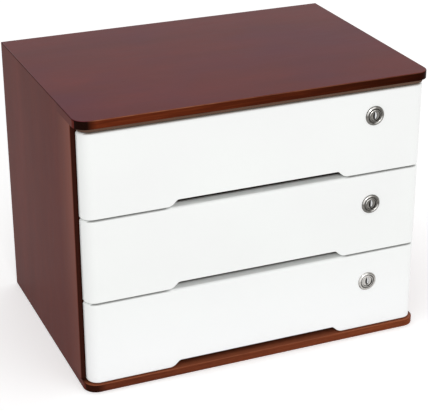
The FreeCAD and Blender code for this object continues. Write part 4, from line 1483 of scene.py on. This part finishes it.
# %% [markdown]
# ## Every piece gets its finish
#
# The finish follows from the end of a piece's name, so one short table covers all the drawers.
# Then the upright faces of the two panels get their band's material. They are the faces for
# which the direction group's upright mask is 1.

# %% Assign the materials
FINISHES = [
    ("top_panel_board", top_veneer),
    ("bottom_panel_board", base_veneer),
    ("_side_panel_board", side_veneer),
    ("back_panel", back_veneer),
    ("_lath_board", lath_veneer),
    ("_rail", rail_veneer),
    ("_front_board", lacquer),
    ("_left_side", side_plywood),
    ("_right_side", side_plywood),
    ("_back", back_plywood),
    ("_bottom", bottom_plywood),
    ("_dowels", beech),
    ("_slide", zinc),
    ("_screws", zinc),
    ("_nut", zinc),
    ("_cam", zinc),
    ("_ball_cages", steel),
    ("_lock_shutter", steel),
]
for drawer in DRAWERS:
    for lock_part in ("_lock_flange", "_lock_core"):
        FINISHES.append((drawer + lock_part, nickel[drawer]))
BAND_LIMIT = math.sqrt(UPRIGHT_SQUARE)


def finish_of(name):
    for ending, material in FINISHES:
        if name.endswith(ending):
            return material
    return None


bare = []
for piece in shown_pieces():
    material = finish_of(piece.name)
    if material is None:
        bare.append(piece.name)
        continue
    piece.data.materials.clear()
    piece.data.materials.append(material)
print("pieces without a finish:", bare)
for panel, band_material in ((top_panel, top_band), (bottom_panel, base_band)):
    panel.data.materials.append(band_material)
    for face in panel.data.polygons:
        if abs(face.normal.z) < BAND_LIMIT:
            face.material_index = 1

# %% [markdown]
# ## Floor and light
#
# The floor and the background are white. A white floor under plain light is a little darker than
# the paper it stands for, so what the camera sees of it is lifted with a Light Path node, while
# the light on the cabinet stays as it is. A small bright lamp stands in front, high and to the
# left. A larger, weaker one at the front right softens its shadows.

# %% Floor
FLOOR_SIZE = 12.0
FLOOR_WHITE = screen_colour(248, 248, 248)
FLOOR_LIFT = 0.32
PURE_WHITE = (1, 1, 1, 1)


def sees_directly(tree):
    """1 for camera, glossy and transmission rays."""
    path = add_node(tree, "LightPath").outputs
    either = math_node(tree, "MAXIMUM", path["Is Camera Ray"], path["Is Glossy Ray"])
    return math_node(tree, "MAXIMUM", either, path["Is Transmission Ray"])


def build_floor_material():
    material, tree, shader = new_material("white_floor")
    shader.inputs["Base Color"].default_value = FLOOR_WHITE
    shader.inputs["Roughness"].default_value = 0.9
    shader.inputs["Specular IOR Level"].default_value = 0.0
    shader.inputs["Emission Color"].default_value = PURE_WHITE
    lift = multiply(tree, sees_directly(tree), FLOOR_LIFT)
    tree.links.new(lift, shader.inputs["Emission Strength"])
    return material


clear_selection()
bpy.ops.mesh.primitive_plane_add(size=FLOOR_SIZE)
floor = bpy.context.active_object
floor.name = "floor"
floor.data.materials.append(build_floor_material())
print("the floor is", FLOOR_SIZE, "m wide")

# %% World
AMBIENT = 0.75


def build_world():
    world = bpy.data.worlds.new("white_studio")
    bpy.context.scene.world = world
    world.use_nodes = True
    tree = world.node_tree
    background = tree.nodes["Background"]
    background.inputs["Color"].default_value = PURE_WHITE
    strength = widen(tree, sees_directly(tree), 0.0, 1.0, AMBIENT, 1.0)
    tree.links.new(strength, background.inputs["Strength"])


build_world()
print("the world lights the cabinet at", AMBIENT)

# %% Lamps
LAMP_TARGET = Vector((0, 0, 0.15))


def add_lamp(name, place, size, power):
    """A square lamp that looks at the middle of the cabinet."""
    clear_selection()
    bpy.ops.object.light_add(type="AREA", location=place)
    lamp = bpy.context.active_object
    lamp.name = name
    lamp.data.shape = "SQUARE"
    lamp.data.size = size
    lamp.data.energy = power
    aim = LAMP_TARGET - Vector(place)
    lamp.rotation_euler = aim.to_track_quat("-Z", "Y").to_euler()
    print(name, "is", round(aim.length, 2), "m away")


add_lamp("upper_left_lamp", place=(-0.5, -2.4, 1.35), size=0.5, power=11)
add_lamp("front_right_lamp", place=(1.2, -2.2, 1.0), size=1.5, power=4)
